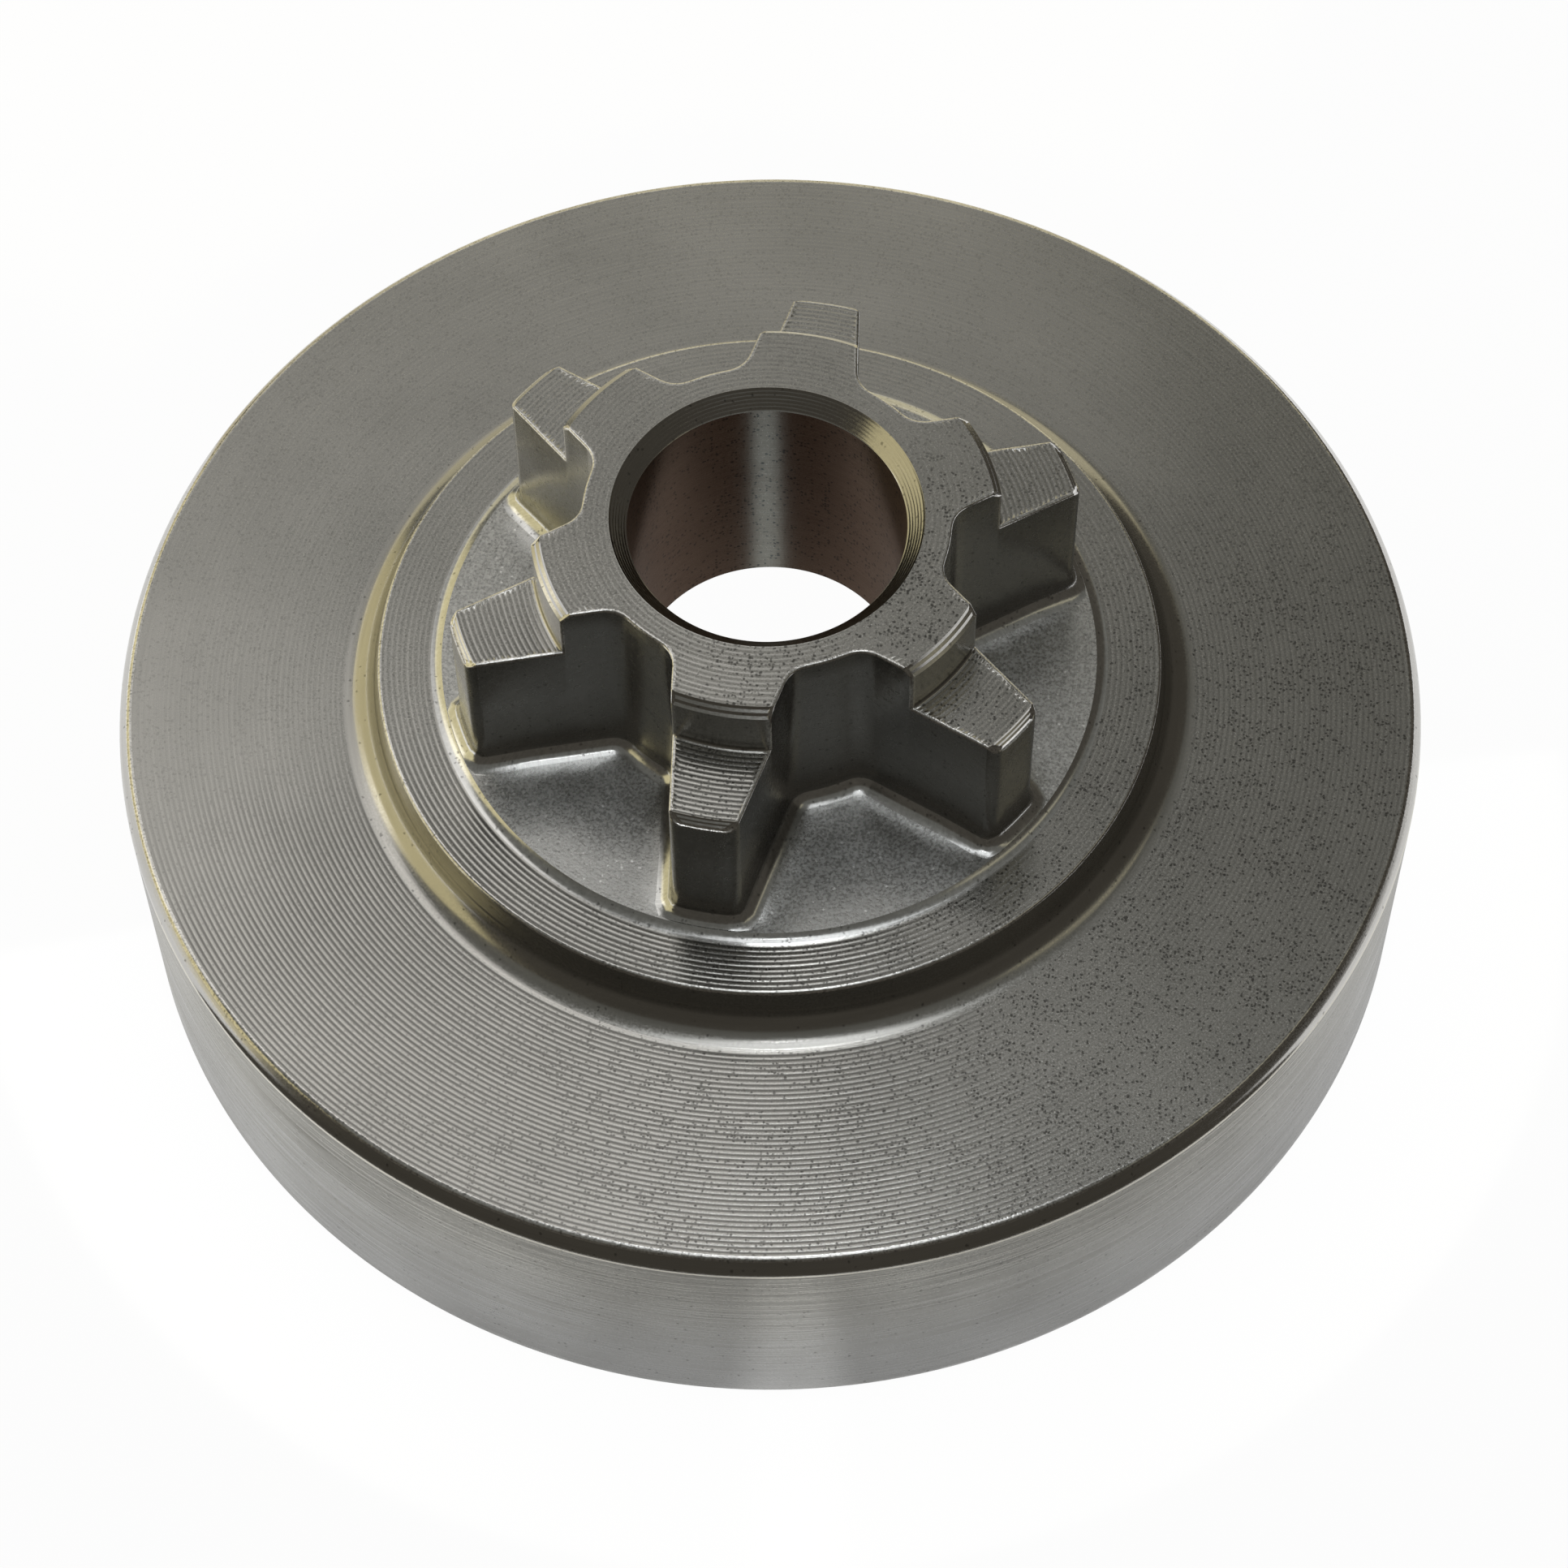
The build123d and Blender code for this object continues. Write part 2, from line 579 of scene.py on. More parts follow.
def tooth_ring_tree() -> bpy.types.NodeTree:
    """The tree that repeats one tooth's share of the star round the axis."""
    inputs = {"Teeth": TOOTH_COUNT, "First Angle": math.radians(FIRST_TOOTH_ANGLE)}
    board = geometry_group("tooth_ring", inputs)
    teeth = board.given["Teeth"]
    centres = board.add("GeometryNodePoints", {"Count": teeth}).outputs[0]
    index = board.add("GeometryNodeInputIndex").outputs[0]
    angle = board.math("ADD", circle_angle(board, index, teeth), board.given["First Angle"])
    copies = {
        "Points": centres,
        "Instance": board.given["Geometry"],
        "Rotation": board.combine(0.0, 0.0, angle),
    }
    return end_geometry(board, board.add("GeometryNodeInstanceOnPoints", copies).outputs[0])


class Workshop:
    """Runs the Geometry Nodes trees and joins what they make into one piece."""

    def __init__(self, materials: dict[Finish, bpy.types.Material]) -> None:
        """Builds the trees and takes the material of each finish."""
        self.materials = materials
        self.revolve = revolve_tree()
        self.turned_face = turned_face_tree()
        self.tooth_ring = tooth_ring_tree()
        self.skins: list[tuple[bpy.types.Mesh, Finish]] = []

    def run(
        self, name: str, mesh: bpy.types.Mesh, tree: bpy.types.NodeTree, finish: Finish, **sizes: float
    ) -> None:
        """Runs a tree on a mesh and keeps the plain mesh that comes out.

        Args:
            name: What the skin is called in the log.
            mesh: The mesh that the tree starts from.
            tree: The Geometry Nodes tree.
            finish: The skin's finish.
            sizes: Values of the tree's inputs in millimetres, with spaces as underscores.
        """
        holder = put_in_scene(name, mesh)
        modifier = holder.modifiers.new("build", "NODES")
        modifier.node_group = tree
        values: dict[str, Any] = {
            key.replace("_", " ").title(): value * MM for key, value in sizes.items()
        }
        values["Finish"] = self.materials[finish]
        for item in tree.interface.items_tree:
            if item.in_out == "INPUT" and item.name in values:
                modifier[item.identifier] = values[item.name]
        evaluated = holder.evaluated_get(bpy.context.evaluated_depsgraph_get())
        made = bpy.data.meshes.new_from_object(evaluated)
        holder.modifiers.clear()
        bpy.data.objects.remove(holder)
        self.skins.append((made, finish))
        LOG.info("skin %s: %d faces, finish %s", name, len(made.polygons), finish.value)

    def turn(self, name: str, section: Section, finish: Finish) -> None:
        """Turns a half section round the axis."""
        self.run(name, section.mesh(name), self.revolve, finish)

    def face(self, name: str, **sizes: float) -> None:
        """Turns a flat face, with scallops of a depth, at a level between two radii."""
        self.run(name, bpy.data.meshes.new(name), self.turned_face, Finish.TURNED_FACE, **sizes)

    def repeat_teeth(self, name: str, sketch: MeshSketch) -> None:
        """Repeats one tooth's share round the axis, each finish on its own."""
        for finish in sketch.finishes():
            self.run(f"{name}_{finish.value}", sketch.mesh(name, finish), self.tooth_ring, finish)

    def join(self, name: str) -> bpy.types.Object:
        """Joins all the skins into one closed piece.

        Args:
            name: The piece's name.

        Returns:
            The piece, at the origin.
        """
        order = list(Finish)
        whole = bmesh.new()
        for mesh, finish in self.skins:
            mesh.polygons.foreach_set("material_index", [order.index(finish)] * len(mesh.polygons))
            whole.from_mesh(mesh)
        bmesh.ops.remove_doubles(whole, verts=whole.verts, dist=PIECE_MERGE * MM)
        bmesh.ops.dissolve_degenerate(whole, edges=whole.edges, dist=SHORTEST_EDGE * MM)
        bmesh.ops.recalc_face_normals(whole, faces=whole.faces)
        open_edges = sum(1 for edge in whole.edges if not edge.is_manifold)
        triangles = sum(len(face.verts) - 2 for face in whole.faces)
        LOG.info("joined %s: %d triangles, %d open edges", name, triangles, open_edges)
        made = bpy.data.meshes.new(name)
        whole.to_mesh(made)
        whole.free()
        for finish in order:
            made.materials.append(self.materials[finish])
        made.set_sharp_from_angle(angle=math.radians(SHARP_ANGLE))
        return put_in_scene(name, made)


@dataclass(frozen=True)
class Drum:
    """The cup: outer wall, rim, inside and the turned face of the web."""

    radius: float
    wall: float = 2.5
    web_level: float = 13.6
    web_thickness: float = 2.7
    inner_chamfer: float = 1.5
    rim_chamfer: float = 0.4
    edge_width: float = 0.5
    edge_depth: float = 0.6
    edge_round: float = 0.16
    edge_foot_round: float = 0.32
    recess_level: float = 13.3
    recess_radius: float = 16.3
    recess_mouth_radius: float = 17.419
    bore_mouth_radius: float = 6.9

    @property
    def face_radius(self) -> float:
        """Radius at which the web's turned face ends and its rounded edge begins."""
        return self.radius - self.edge_width - self.edge_round - FACE_LAND

    @property
    def edge_foot(self) -> float:
        """Level at which the chamfer at the web's edge meets the outer wall."""
        return self.web_level - self.edge_depth

    def burr(self) -> Section:
        """The half section of the burred corner between the web's face and the chamfer."""
        edge = self.radius - self.edge_width
        section = Section(self.face_radius, self.web_level)
        return section.corner(edge, self.web_level, (self.radius, self.edge_foot), self.edge_round)

    def edge(self) -> Section:
        """The half section of the chamfer at the web's edge, rounded at its foot."""
        section = Section(*self.burr().points[-1])
        return section.corner(self.radius, self.edge_foot, (self.radius, 0), self.edge_foot_round)

    def outside(self) -> Section:
        """The half section of the outer wall and the rim's chamfer."""
        return Section(self.radius, self.edge_foot - self.edge_foot_round).to(
            (self.radius, self.web_level / 2),
            (self.radius, self.rim_chamfer),
            (self.radius - self.rim_chamfer, 0),
        )

    def inside(self) -> Section:
        """The half section of the rim's foot, the inner wall, the web's underside and the recess."""
        inner = self.radius - self.wall
        underside = self.web_level - self.web_thickness
        return Section(self.radius - self.rim_chamfer, 0).to(
            (inner + self.rim_chamfer, 0),
            (inner, self.rim_chamfer),
            (inner, underside - self.inner_chamfer),
            (inner - self.inner_chamfer, underside),
            (self.recess_mouth_radius, underside),
            (self.recess_radius, self.recess_level),
            (self.bore_mouth_radius, self.recess_level),
        )

    def build(self, shop: Workshop, web_start: float) -> None:
        """Makes the drum's skins.

        Args:
            shop: The workshop that runs the trees.
            web_start: Radius at which the boss's foot meets the web's face.
        """
        shop.turn("drum_burr", self.burr(), Finish.BURR_EDGE)
        shop.turn("drum_edge", self.edge(), Finish.TURNED_STEP)
        shop.turn("drum_outside", self.outside(), Finish.TURNED_WALL)
        shop.turn("drum_inside", self.inside(), Finish.INSIDE)
        shop.face(
            "web_face",
            inner_radius=web_start,
            outer_radius=self.face_radius,
            level=self.web_level,
            depth=WEB_SCALLOP,
        )


@dataclass(frozen=True)
class Boss:
    """The raised boss on the web: its tapered wall, its turned ring and the step up to the floor."""

    web_level: float
    height: float = 2.4
    taper: float = 12.0
    wall_ridges: int = 8
    ridge_depth: float = 0.012
    fillet: float = 1.6
    fillet_steps: int = 7
    run_out: float = 18.0
    run_out_steps: int = 4
    floor_radius: float = 15.8
    step_width: float = 0.55
    step_sag: float = 0.045
    step_shares: tuple[float, ...] = (0.17, 0.33, 0.5, 0.67, 0.83, 1.0)
    floor_rise: float = 0.2
    ring_width: float = 2.55
    edge_round: float = 0.16

    @property
    def ring_level(self) -> float:
        """Level of the turned ring."""
        return self.web_level + self.height

    @property
    def floor_level(self) -> float:
        """Level of the forged floor that the teeth stand on."""
        return self.ring_level + self.floor_rise

    @property
    def ring_inner(self) -> float:
        """Radius at which the turned ring begins."""
        return self.floor_radius + self.step_width

    @property
    def ring_outer(self) -> float:
        """Radius of the boss's upper edge."""
        return self.ring_inner + self.ring_width

    @property
    def face_radius(self) -> float:
        """Radius at which the ring's turned face ends and its rounded edge begins."""
        return self.ring_outer - self.edge_round - FACE_LAND

    @property
    def foot_end(self) -> float:
        """Radius at which the fillet at the boss's foot meets the web."""
        foot = self.ring_outer + self.height * math.tan(math.radians(self.taper))
        return foot + self.fillet / math.tan(math.radians((90 + self.taper) / 2))

    @property
    def fillet_centre(self) -> tuple[float, float]:
        """Radius and level of the centre of the fillet at the boss's foot."""
        return self.foot_end, self.web_level + self.fillet

    @property
    def wall_foot(self) -> np.ndarray:
        """Radius and level at which the tapered wall runs into the fillet."""
        return np.array(self.fillet_centre) - self.fillet * direction(math.radians(self.taper))

    def burr(self) -> Section:
        """The half section of the burred corner between the ring and the tapered wall."""
        section = Section(self.face_radius, self.ring_level)
        return section.corner(self.ring_outer, self.ring_level, self.wall_foot, self.edge_round)

    def wall(self) -> Section:
        """The half section of the tapered wall and the steep part of the fillet at its foot."""
        section = Section(*self.burr().points[-1])
        section.turned(*self.wall_foot, self.wall_ridges, self.ridge_depth)
        start, end = 180 + self.taper, 270 - self.run_out
        return section.arc(self.fillet_centre, self.fillet, start, end, self.fillet_steps)

    def foot(self) -> Section:
        """The half section of the flat part of the fillet, which runs out into the web."""
        section = Section(*self.wall().points[-1])
        start, end = 270 - self.run_out, 270
        return section.arc(self.fillet_centre, self.fillet, start, end, self.run_out_steps)

    def step(self) -> Section:
        """The half section of the step between the floor and the ring, a little hollow."""
        section = Section(self.floor_radius, self.floor_level)
        for share in self.step_shares:
            hollow = 4 * self.step_sag * share * (1 - share)
            radius = self.floor_radius + self.step_width * share
            section.to((radius, self.floor_level - self.floor_rise * share - hollow))
        return section

    def build(self, shop: Workshop) -> None:
        """Makes the boss's skins."""
        shop.turn("boss_burr", self.burr(), Finish.BURR_EDGE)
        shop.turn("boss_wall", self.wall(), Finish.TURNED_STEP)
        shop.turn("boss_foot", self.foot(), Finish.TURNED_STEP)
        # The step takes the brighter copy of the forged steel, a painted sheen on a smoother surface
        shop.turn("boss_step", self.step(), Finish.FORGED_FOOT)
        shop.face(
            "boss_ring",
            inner_radius=self.ring_inner,
            outer_radius=self.face_radius,
            level=self.ring_level,
            depth=RING_SCALLOP,
        )


@dataclass(frozen=True)
class ToothOutline:
    """Plan of one tooth, with the tooth along the first axis and its flanks mirrored across it."""

    tip_radius: float = 15.2
    tip_width: float = 3.1
    flank_angle: float = 9.5
    tip_corner: float = 0.65
    root_radius: float = 8.57
    root_corner: float = 1.4

    @property
    def slope(self) -> float:
        """How much the half width falls for each millimetre outwards."""
        return math.tan(math.radians(self.flank_angle))

    @property
    def axis_half_width(self) -> float:
        """Half width that the flanks would have at the axis."""
        return self.tip_width / 2 + self.tip_radius * self.slope

    @property
    def flank_normal(self) -> np.ndarray:
        """Outward normal of the flank."""
        return direction(math.radians(90 - self.flank_angle))

    @property
    def flank_way(self) -> np.ndarray:
        """Direction along the flank, outwards."""
        return direction(math.radians(-self.flank_angle))

    @property
    def tip_centre(self) -> np.ndarray:
        """Centre of the rounded corner at the tip."""
        return self.on_line(self.tip_radius - self.tip_corner, -self.tip_corner)

    @property
    def root_centre(self) -> np.ndarray:
        """Centre of the fillet at the root."""
        return self.on_line(self.root_radius + self.root_corner, self.root_corner)

    def on_line(self, radius: float, offset: float) -> np.ndarray:
        """The point of the flank's line at a radius.

        Args:
            radius: Distance from the axis.
            offset: How far outside the flank the line lies.

        Returns:
            The plan point.
        """
        rise = self.axis_half_width + offset / math.cos(math.radians(self.flank_angle))
        spread = 1 + self.slope**2
        root = math.sqrt((rise * self.slope) ** 2 - spread * (rise**2 - radius**2))
        outwards = (rise * self.slope + root) / spread
        return np.array((outwards, rise - self.slope * outwards))

    def half_angle(self, radius: float, offset: float) -> float:
        """The polar angle at which a circle crosses the outline.

        Args:
            radius: The circle's radius.
            offset: How far outside the outline the crossing lies.

        Returns:
            The angle in radians.
        """
        tip_size = self.tip_corner + offset
        root_size = self.root_corner - offset
        if radius > np.linalg.norm(self.tip_centre + tip_size * self.flank_normal):
            return self._crossing(self.tip_centre, tip_size, radius, 1)
        if radius < np.linalg.norm(self.root_centre - root_size * self.flank_normal):
            return self._crossing(self.root_centre, root_size, radius, -1)
        return polar(self.on_line(radius, offset))

    def corner_turn(self, radius: float) -> float:
        """Turn in radians of the tip corner's normal where the corner reaches a radius."""
        reach = float(np.linalg.norm(self.tip_centre))
        cosine = (radius**2 - reach**2 - self.tip_corner**2) / (2 * reach * self.tip_corner)
        return polar(self.tip_centre) + math.acos(cosine)

    @staticmethod
    def _crossing(centre: np.ndarray, size: float, radius: float, side: int) -> float:
        """Polar angle at which two circles cross, on one side of the centre's own angle."""
        reach = float(np.linalg.norm(centre))
        cosine = (radius**2 + reach**2 - size**2) / (2 * radius * reach)
        return polar(centre) + side * math.acos(min(1.0, cosine))


@dataclass(frozen=True)
class LandRow:
    """One row of the turned tops, at one radius and level, with the finish of the band up to it."""

    radius: float
    level: float
    furrow: float = 0.0
    finish: Finish = Finish.TURNED_FACE


@dataclass
class WallPoint:
    """One point on the upper edge of the star's wall."""

    plan: np.ndarray
    level: float
    wall_normal: np.ndarray
    top_normal: np.ndarray

    def edge(self, share: float, size: float) -> np.ndarray:
        """A point on the rounded edge between the top and the wall.

        Args:
            share: Zero on the top, one on the wall.
            size: How far the round reaches from the sharp edge.

        Returns:
            The place in millimetres.
        """
        lean = float(self.top_normal @ self.wall_normal)
        down = -unit(self.top_normal - lean * self.wall_normal)
        back = -unit(self.wall_normal - lean * self.top_normal)
        sharp = np.array((self.plan[0], self.plan[1], self.level))
        place = sharp + size * ((1 - share) ** 2 * back + share**2 * down)
        place[2] = min(place[2], self.level)
        return place

    def mirrored(self) -> "WallPoint":
        """The same point on the tooth's other side."""
        flip = np.array((1.0, -1.0, 1.0))
        wall, top = self.wall_normal * flip, self.top_normal * flip
        return WallPoint(self.plan * flip[:2], self.level, wall, top)


@dataclass(frozen=True)
class WallPath:
    """Half of the upper edge of the star's wall: round the hub, down the step, along the tooth."""

    hub: list[WallPoint]
    step: list[WallPoint]
    tooth: list[WallPoint]

    def mirrored(self) -> "WallPath":
        """The same edge on the tooth's other side."""
        parts = (self.hub, self.step, self.tooth)
        return WallPath(*([point.mirrored() for point in part] for part in parts))


def both_sides(half: list[WallPoint]) -> list[WallPoint]:
    """The points of a half and of its mirror image, from gap to gap, with the middle one once."""
    return [point.mirrored() for point in half] + half[-2::-1]


@dataclass
class Sprocket:
    """The star of teeth with its hub and bore, drawn as one tooth's share and repeated."""

    floor_level: float
    floor_radius: float
    hub_top: float
    outline: ToothOutline = field(default_factory=ToothOutline)
    tooth_height: float = 8.2
    tip_chamfer: float = 0.4
    hub_step_radius: float = 10.95
    hub_chamfer: float = 0.43
    hub_line_share: float = 0.45

    # Bore
    bore_radius: float = 6.5
    bore_chamfer: float = 0.8
    bore_foot_level: float = 13.3
    bore_foot_chamfer: float = 0.4
    bore_land: float = 0.03
    bore_ridges: int = 6
    bore_ridge_height: float = 0.015

    # Rounded edge of the tops, bevels, and the fillet between the hub's step and the teeth's tops
    edge_round: float = 0.12
    edge_land: float = 0.08
    edge_steps: int = 4
    bevel_steps: int = 4
    bevel_groove: float = 0.33
    step_fillet: float = 0.14
    step_fillet_steps: int = 4

    # Columns across the tops, the least gap at a top's ends as a share of its rows' spacing, and the
    # steps of the wall's edge
    land_columns: int = 16
    row_gap: float = 0.3
    root_steps: int = 2
    root_fillet_steps: int = 5
    step_rows: int = 3
    flank_steps: int = 2
    corner_steps: int = 2
    tip_steps: int = 3

    # Fillet at the wall's foot, whose lower bands take a brighter copy of the steel as a painted
    # sheen, and the land beyond it
    base_fillet: float = 0.9
    fillet_bands: int = 6
    foot_bands: int = 4
    rim_land: float = 0.02

    # Dish of the floor: its full size, the room it leaves, and the shares of the floor's rows
    dish_width: float = 1.8
    dish_angle: float = 8.0
    dish_least: float = 0.001
    dish_margin: float = 0.1
    dish_way_share: float = 0.8
    dish_run_share: float = 1.5
    floor_shares: tuple[float, ...] = (0.05, 0.1, 0.16, 0.23, 0.32, 0.45, 0.62, 0.8, 1.0)

    def __post_init__(self) -> None:
        """Gives each scallop of the tops its own depth."""
        chance = np.random.default_rng(SCALLOP_SEED)
        self.depths = TOP_SCALLOP * chance.uniform(SCALLOP_LEAST, SCALLOP_MOST, SCALLOP_COUNT)

    @property
    def tooth_top(self) -> float:
        """Level of the teeth's turned tops."""
        return self.floor_level + self.tooth_height

    @property
    def step_head(self) -> float:
        """Level at which the hub's bevel meets the step."""
        return self.hub_top - self.hub_chamfer

    @property
    def tip_bevel(self) -> float:
        """Radius at which the tip's bevel begins."""
        return self.outline.tip_radius - self.tip_chamfer

    @property
    def inset(self) -> float:
        """How far inside the outline the scalloped tops end."""
        return self.edge_round + self.edge_land

    @property
    def land_start(self) -> float:
        """Radius at which the tops leave the full circle of the hub."""
        return self.outline.root_radius - self.inset

    @property
    def bore_mouth(self) -> float:
        """Radius of the bore's upper edge."""
        return self.bore_radius + self.bore_chamfer

    def wall_path(self) -> WallPath:
        """The upper edge of the star's wall, from the middle of a gap to the middle of a tip.

        Returns:
            The edge in its three parts. The foot of the step is a point of the tooth as well.
        """
        shape = self.outline
        flank = shape.flank_normal

        def point(plan: np.ndarray, normal: np.ndarray, level: float, top: np.ndarray) -> WallPoint:
            """An edge point from its plan place and normals."""
            return WallPoint(plan, level, np.array((normal[0], normal[1], 0.0)), unit(top))

        def bevel(plan: np.ndarray) -> np.ndarray:
            """Normal of a turned bevel above a plan point."""
            return unit(np.append(unit(plan), 1.0))

        def outward(plan: np.ndarray) -> np.ndarray:
            """Direction away from the axis at a plan point."""
            return np.append(unit(plan), 0.0)

        root_angle = polar(shape.root_centre)
        flank_turn = math.radians(90 - shape.flank_angle)
        hub = []
        for angle in np.linspace(math.pi / TOOTH_COUNT, root_angle, self.root_steps + 1):
            way = direction(angle)
            hub.append(point(shape.root_radius * way, way, self.hub_top, UP))
        for angle in strides(root_angle, flank_turn, self.root_fillet_steps):
            way = direction(angle)
            hub.append(point(shape.root_centre - shape.root_corner * way, way, self.hub_top, UP))
        bevel_plan = shape.on_line(self.hub_step_radius - self.hub_chamfer, 0)
        hub.append(point(bevel_plan, flank, self.hub_top, UP + bevel(bevel_plan)))

        step_plan = shape.on_line(self.hub_step_radius, 0)
        step_out = outward(step_plan)
        step = [point(step_plan, flank, self.step_head, bevel(step_plan) + step_out)]
        for level in strides(self.step_head, self.tooth_top, self.step_rows):
            step.append(point(step_plan, flank, level, step_out))

        corner_start = shape.tip_centre + shape.tip_corner * flank
        tooth = []
        for share in np.linspace(0, 1, self.flank_steps + 1):
            plan = step_plan + (corner_start - step_plan) * share
            tooth.append(point(plan, flank, self.tooth_top, UP))
        tip_angle = polar(shape.tip_centre)
        bevel_angle = shape.corner_turn(self.tip_bevel)
        for angle in strides(flank_turn, bevel_angle, self.corner_steps):
            way = direction(angle)
            plan = shape.tip_centre + shape.tip_corner * way
            tooth.append(point(plan, way, self.tooth_top, UP))
        tooth[-1].top_normal = unit(UP + bevel(tooth[-1].plan))
        for angle in strides(bevel_angle, tip_angle, self.tip_steps):
            way = direction(angle)
            plan = shape.tip_centre + shape.tip_corner * way
            level = self.tooth_top - (np.linalg.norm(plan) - self.tip_bevel)
            tooth.append(point(plan, way, level, bevel(plan)))
        for angle in strides(tip_angle, 0, self.tip_steps):
            way = direction(angle)
            plan = shape.tip_radius * way
            tooth.append(point(plan, way, self.tooth_top - self.tip_chamfer, bevel(plan)))
        return WallPath(hub, step, tooth)

    def land_rows(self) -> list[LandRow]:
        """The rows of the turned tops, from the root outwards.

        Returns:
            Rows over the hub's top, its bevel, the step, the tooth's top and the tip's bevel.
        """
        hub_bevel = self.hub_step_radius - self.hub_chamfer
        rows = self.scalloped(self.land_start, hub_bevel, self.hub_top, self.hub_line_share)
        rows += self.bevel_rows(hub_bevel, self.hub_top, self.hub_chamfer)
        for level in strides(self.step_head, self.tooth_top + self.step_fillet, self.step_rows):
            rows.append(LandRow(self.hub_step_radius, float(level), 0.0, Finish.TURNED_STEP))
        centre = np.array((self.hub_step_radius, self.tooth_top)) + self.step_fillet
        for angle in np.radians(strides(180, 270, self.step_fillet_steps)[:-1]):
            radius, level = centre + self.step_fillet * direction(angle)
            rows.append(LandRow(radius, level, 0.0, Finish.TURNED_STEP))
        rows += self.scalloped(centre[0], self.tip_bevel, self.tooth_top)
        tip_width = self.tip_chamfer - self.inset / math.sqrt(2)
        return rows + self.bevel_rows(self.tip_bevel, self.tooth_top, tip_width)

    def bevel_rows(self, radius: float, level: float, width: float) -> list[LandRow]:
        """Rows of a turned bevel with ridges across it.

        Args:
            radius: Radius at which the bevel begins.
            level: Level at which it begins.
            width: How far it goes outwards, and as far down.

        Returns:
            The rows after its first.
        """
        rows = []
        run = width / self.bevel_steps
        for step in range(1, self.bevel_steps + 1):
            groove = self.bevel_groove * run * (step % 2)
            drop = run * step
            place = radius + drop - groove, level - drop - groove
            rows.append(LandRow(*place, 0.0, Finish.TURNED_STEP))
        return rows

    def scalloped(
        self, start: float, end: float, level: float, strength: float = 1.0
    ) -> list[LandRow]:
        """Rows of a turned top between two radii, with the ends on the level itself.

        Args:
            start: First radius.
            end: Last radius.
            level: Level of the ridges.
            strength: How deep the scallops are and how much painted shade their furrows get, as a
                share.

        Returns:
            The rows, from the inside outwards.
        """
        spacing = FEED / SAMPLES_PER_TOP_SCALLOP
        first = math.ceil(start / spacing + self.row_gap)
        last = math.floor(end / spacing - self.row_gap)
        rows = [LandRow(start, level)]
        for number in range(first, last + 1):
            furrow = strength * furrow_at(number * spacing)
            depth = self.depths[number // SAMPLES_PER_TOP_SCALLOP]
            rows.append(LandRow(number * spacing, level - depth * furrow, furrow))
        rows.append(LandRow(end, level))
        return rows

    def tops(self) -> MeshSketch:
        """The scalloped tops of one tooth's share, with the rounded edge all round.

        Returns:
            The drawn share, with the tooth along the first axis.
        """
        sketch = MeshSketch()
        share = math.pi / TOOTH_COUNT
        gap_columns = HALF_TOOTH_SIDES // 2 - self.land_columns // 2

        def around(row: LandRow, angles: Iterable[float]) -> list[int]:
            """A row of points at one radius and level."""
            places = ((*(row.radius * direction(angle)), row.level) for angle in angles)
            return sketch.row(places, row.furrow)

        circle = self.scalloped(self.bore_mouth, self.land_start, self.hub_top, self.hub_line_share)
        mouth = around(circle[0], np.linspace(-share, share, 2 * HALF_TOOTH_SIDES + 1))
        coarse = np.linspace(-share, share, HALF_TOOTH_SIDES + 1)
        previous = around(circle[1], coarse)
        sketch.zip(mouth, previous)
        for row in circle[2:]:
            current = around(row, coarse)
            sketch.band(previous, current)
            previous = current
        gap_left = previous[: gap_columns + 1]
        gap_right = previous[-gap_columns - 1 :]
        previous = previous[gap_columns:-gap_columns]
        left, right = [previous[0]], [previous[-1]]
        places = np.linspace(-1, 1, self.land_columns + 1)
        for row in self.land_rows()[1:]:
            current = around(row, places * self.outline.half_angle(row.radius, -self.inset))
            sketch.finish = row.finish
            sketch.band(previous, current)
            left.append(current[0])
            right.append(current[-1])
            previous = current
        border = gap_left[:-1] + left + previous[1:-1] + right[::-1] + gap_right[1:]
        path = self.wall_path()
        edge = both_sides(path.hub + path.step + path.tooth)
        loops = [
            sketch.row(point.edge(part, self.edge_round) for point in edge)
            for part in np.linspace(0, 1, self.edge_steps + 1)
        ]
        # The rounded edge takes the burr finish, whose bright colour paints a highlight
        sketch.finish = Finish.BURR_EDGE
        sketch.zip(border, loops[0])
        sketch.bands(loops)
        return sketch

    def wall_columns(self) -> list[WallPoint]:
        """The plan points of the wall across the whole of one tooth's share."""
        path = self.wall_path()
        corner = path.step[0]
        plan = corner.plan - self.edge_round * self.outline.flank_way
        inside = WallPoint(plan, self.tooth_top, corner.wall_normal, UP)
        return both_sides(path.hub + [inside] + path.tooth)

    def flanks(self) -> MeshSketch:
        """The walls of one tooth's share with the fillet at their foot.

        Returns:
            The drawn share, with the tooth along the first axis.
        """
        sketch = MeshSketch(Finish.FORGED_FLANK)
        path = self.wall_path()
        columns = self.wall_columns()
        hub_columns = len(path.hub) + 1
        waist = self.tooth_top - self.edge_round
        foot = self.floor_level + self.base_fillet
        tops = []
        for number, column in enumerate(columns):
            from_gap = min(number, len(columns) - 1 - number)
            on_hub = from_gap < hub_columns
            tops.append((*column.plan, waist) if on_hub else column.edge(1, self.edge_round))
        shares = np.linspace(1, 0, self.fillet_bands + 1)
        rows = [sketch.row(self.fillet_row(columns, share)) for share in shares]
        levels = [foot + (top[2] - foot) / 2 for top in tops]
        rows.append(sketch.row((*column.plan, level) for column, level in zip(columns, levels)))
        rows.append(sketch.row(tops))
        # The fillet's lower bands take a brighter copy of the steel: a smoother surface with a painted
        # sheen
        sketch.finish = Finish.FORGED_FOOT
        sketch.bands(rows[: self.foot_bands + 1])
        sketch.finish = Finish.FORGED_FLANK
        sketch.bands(rows[self.foot_bands :])
        self.hub_side(sketch, path.mirrored(), rows[-1])
        self.hub_side(sketch, path, rows[-1][::-1])
        return sketch

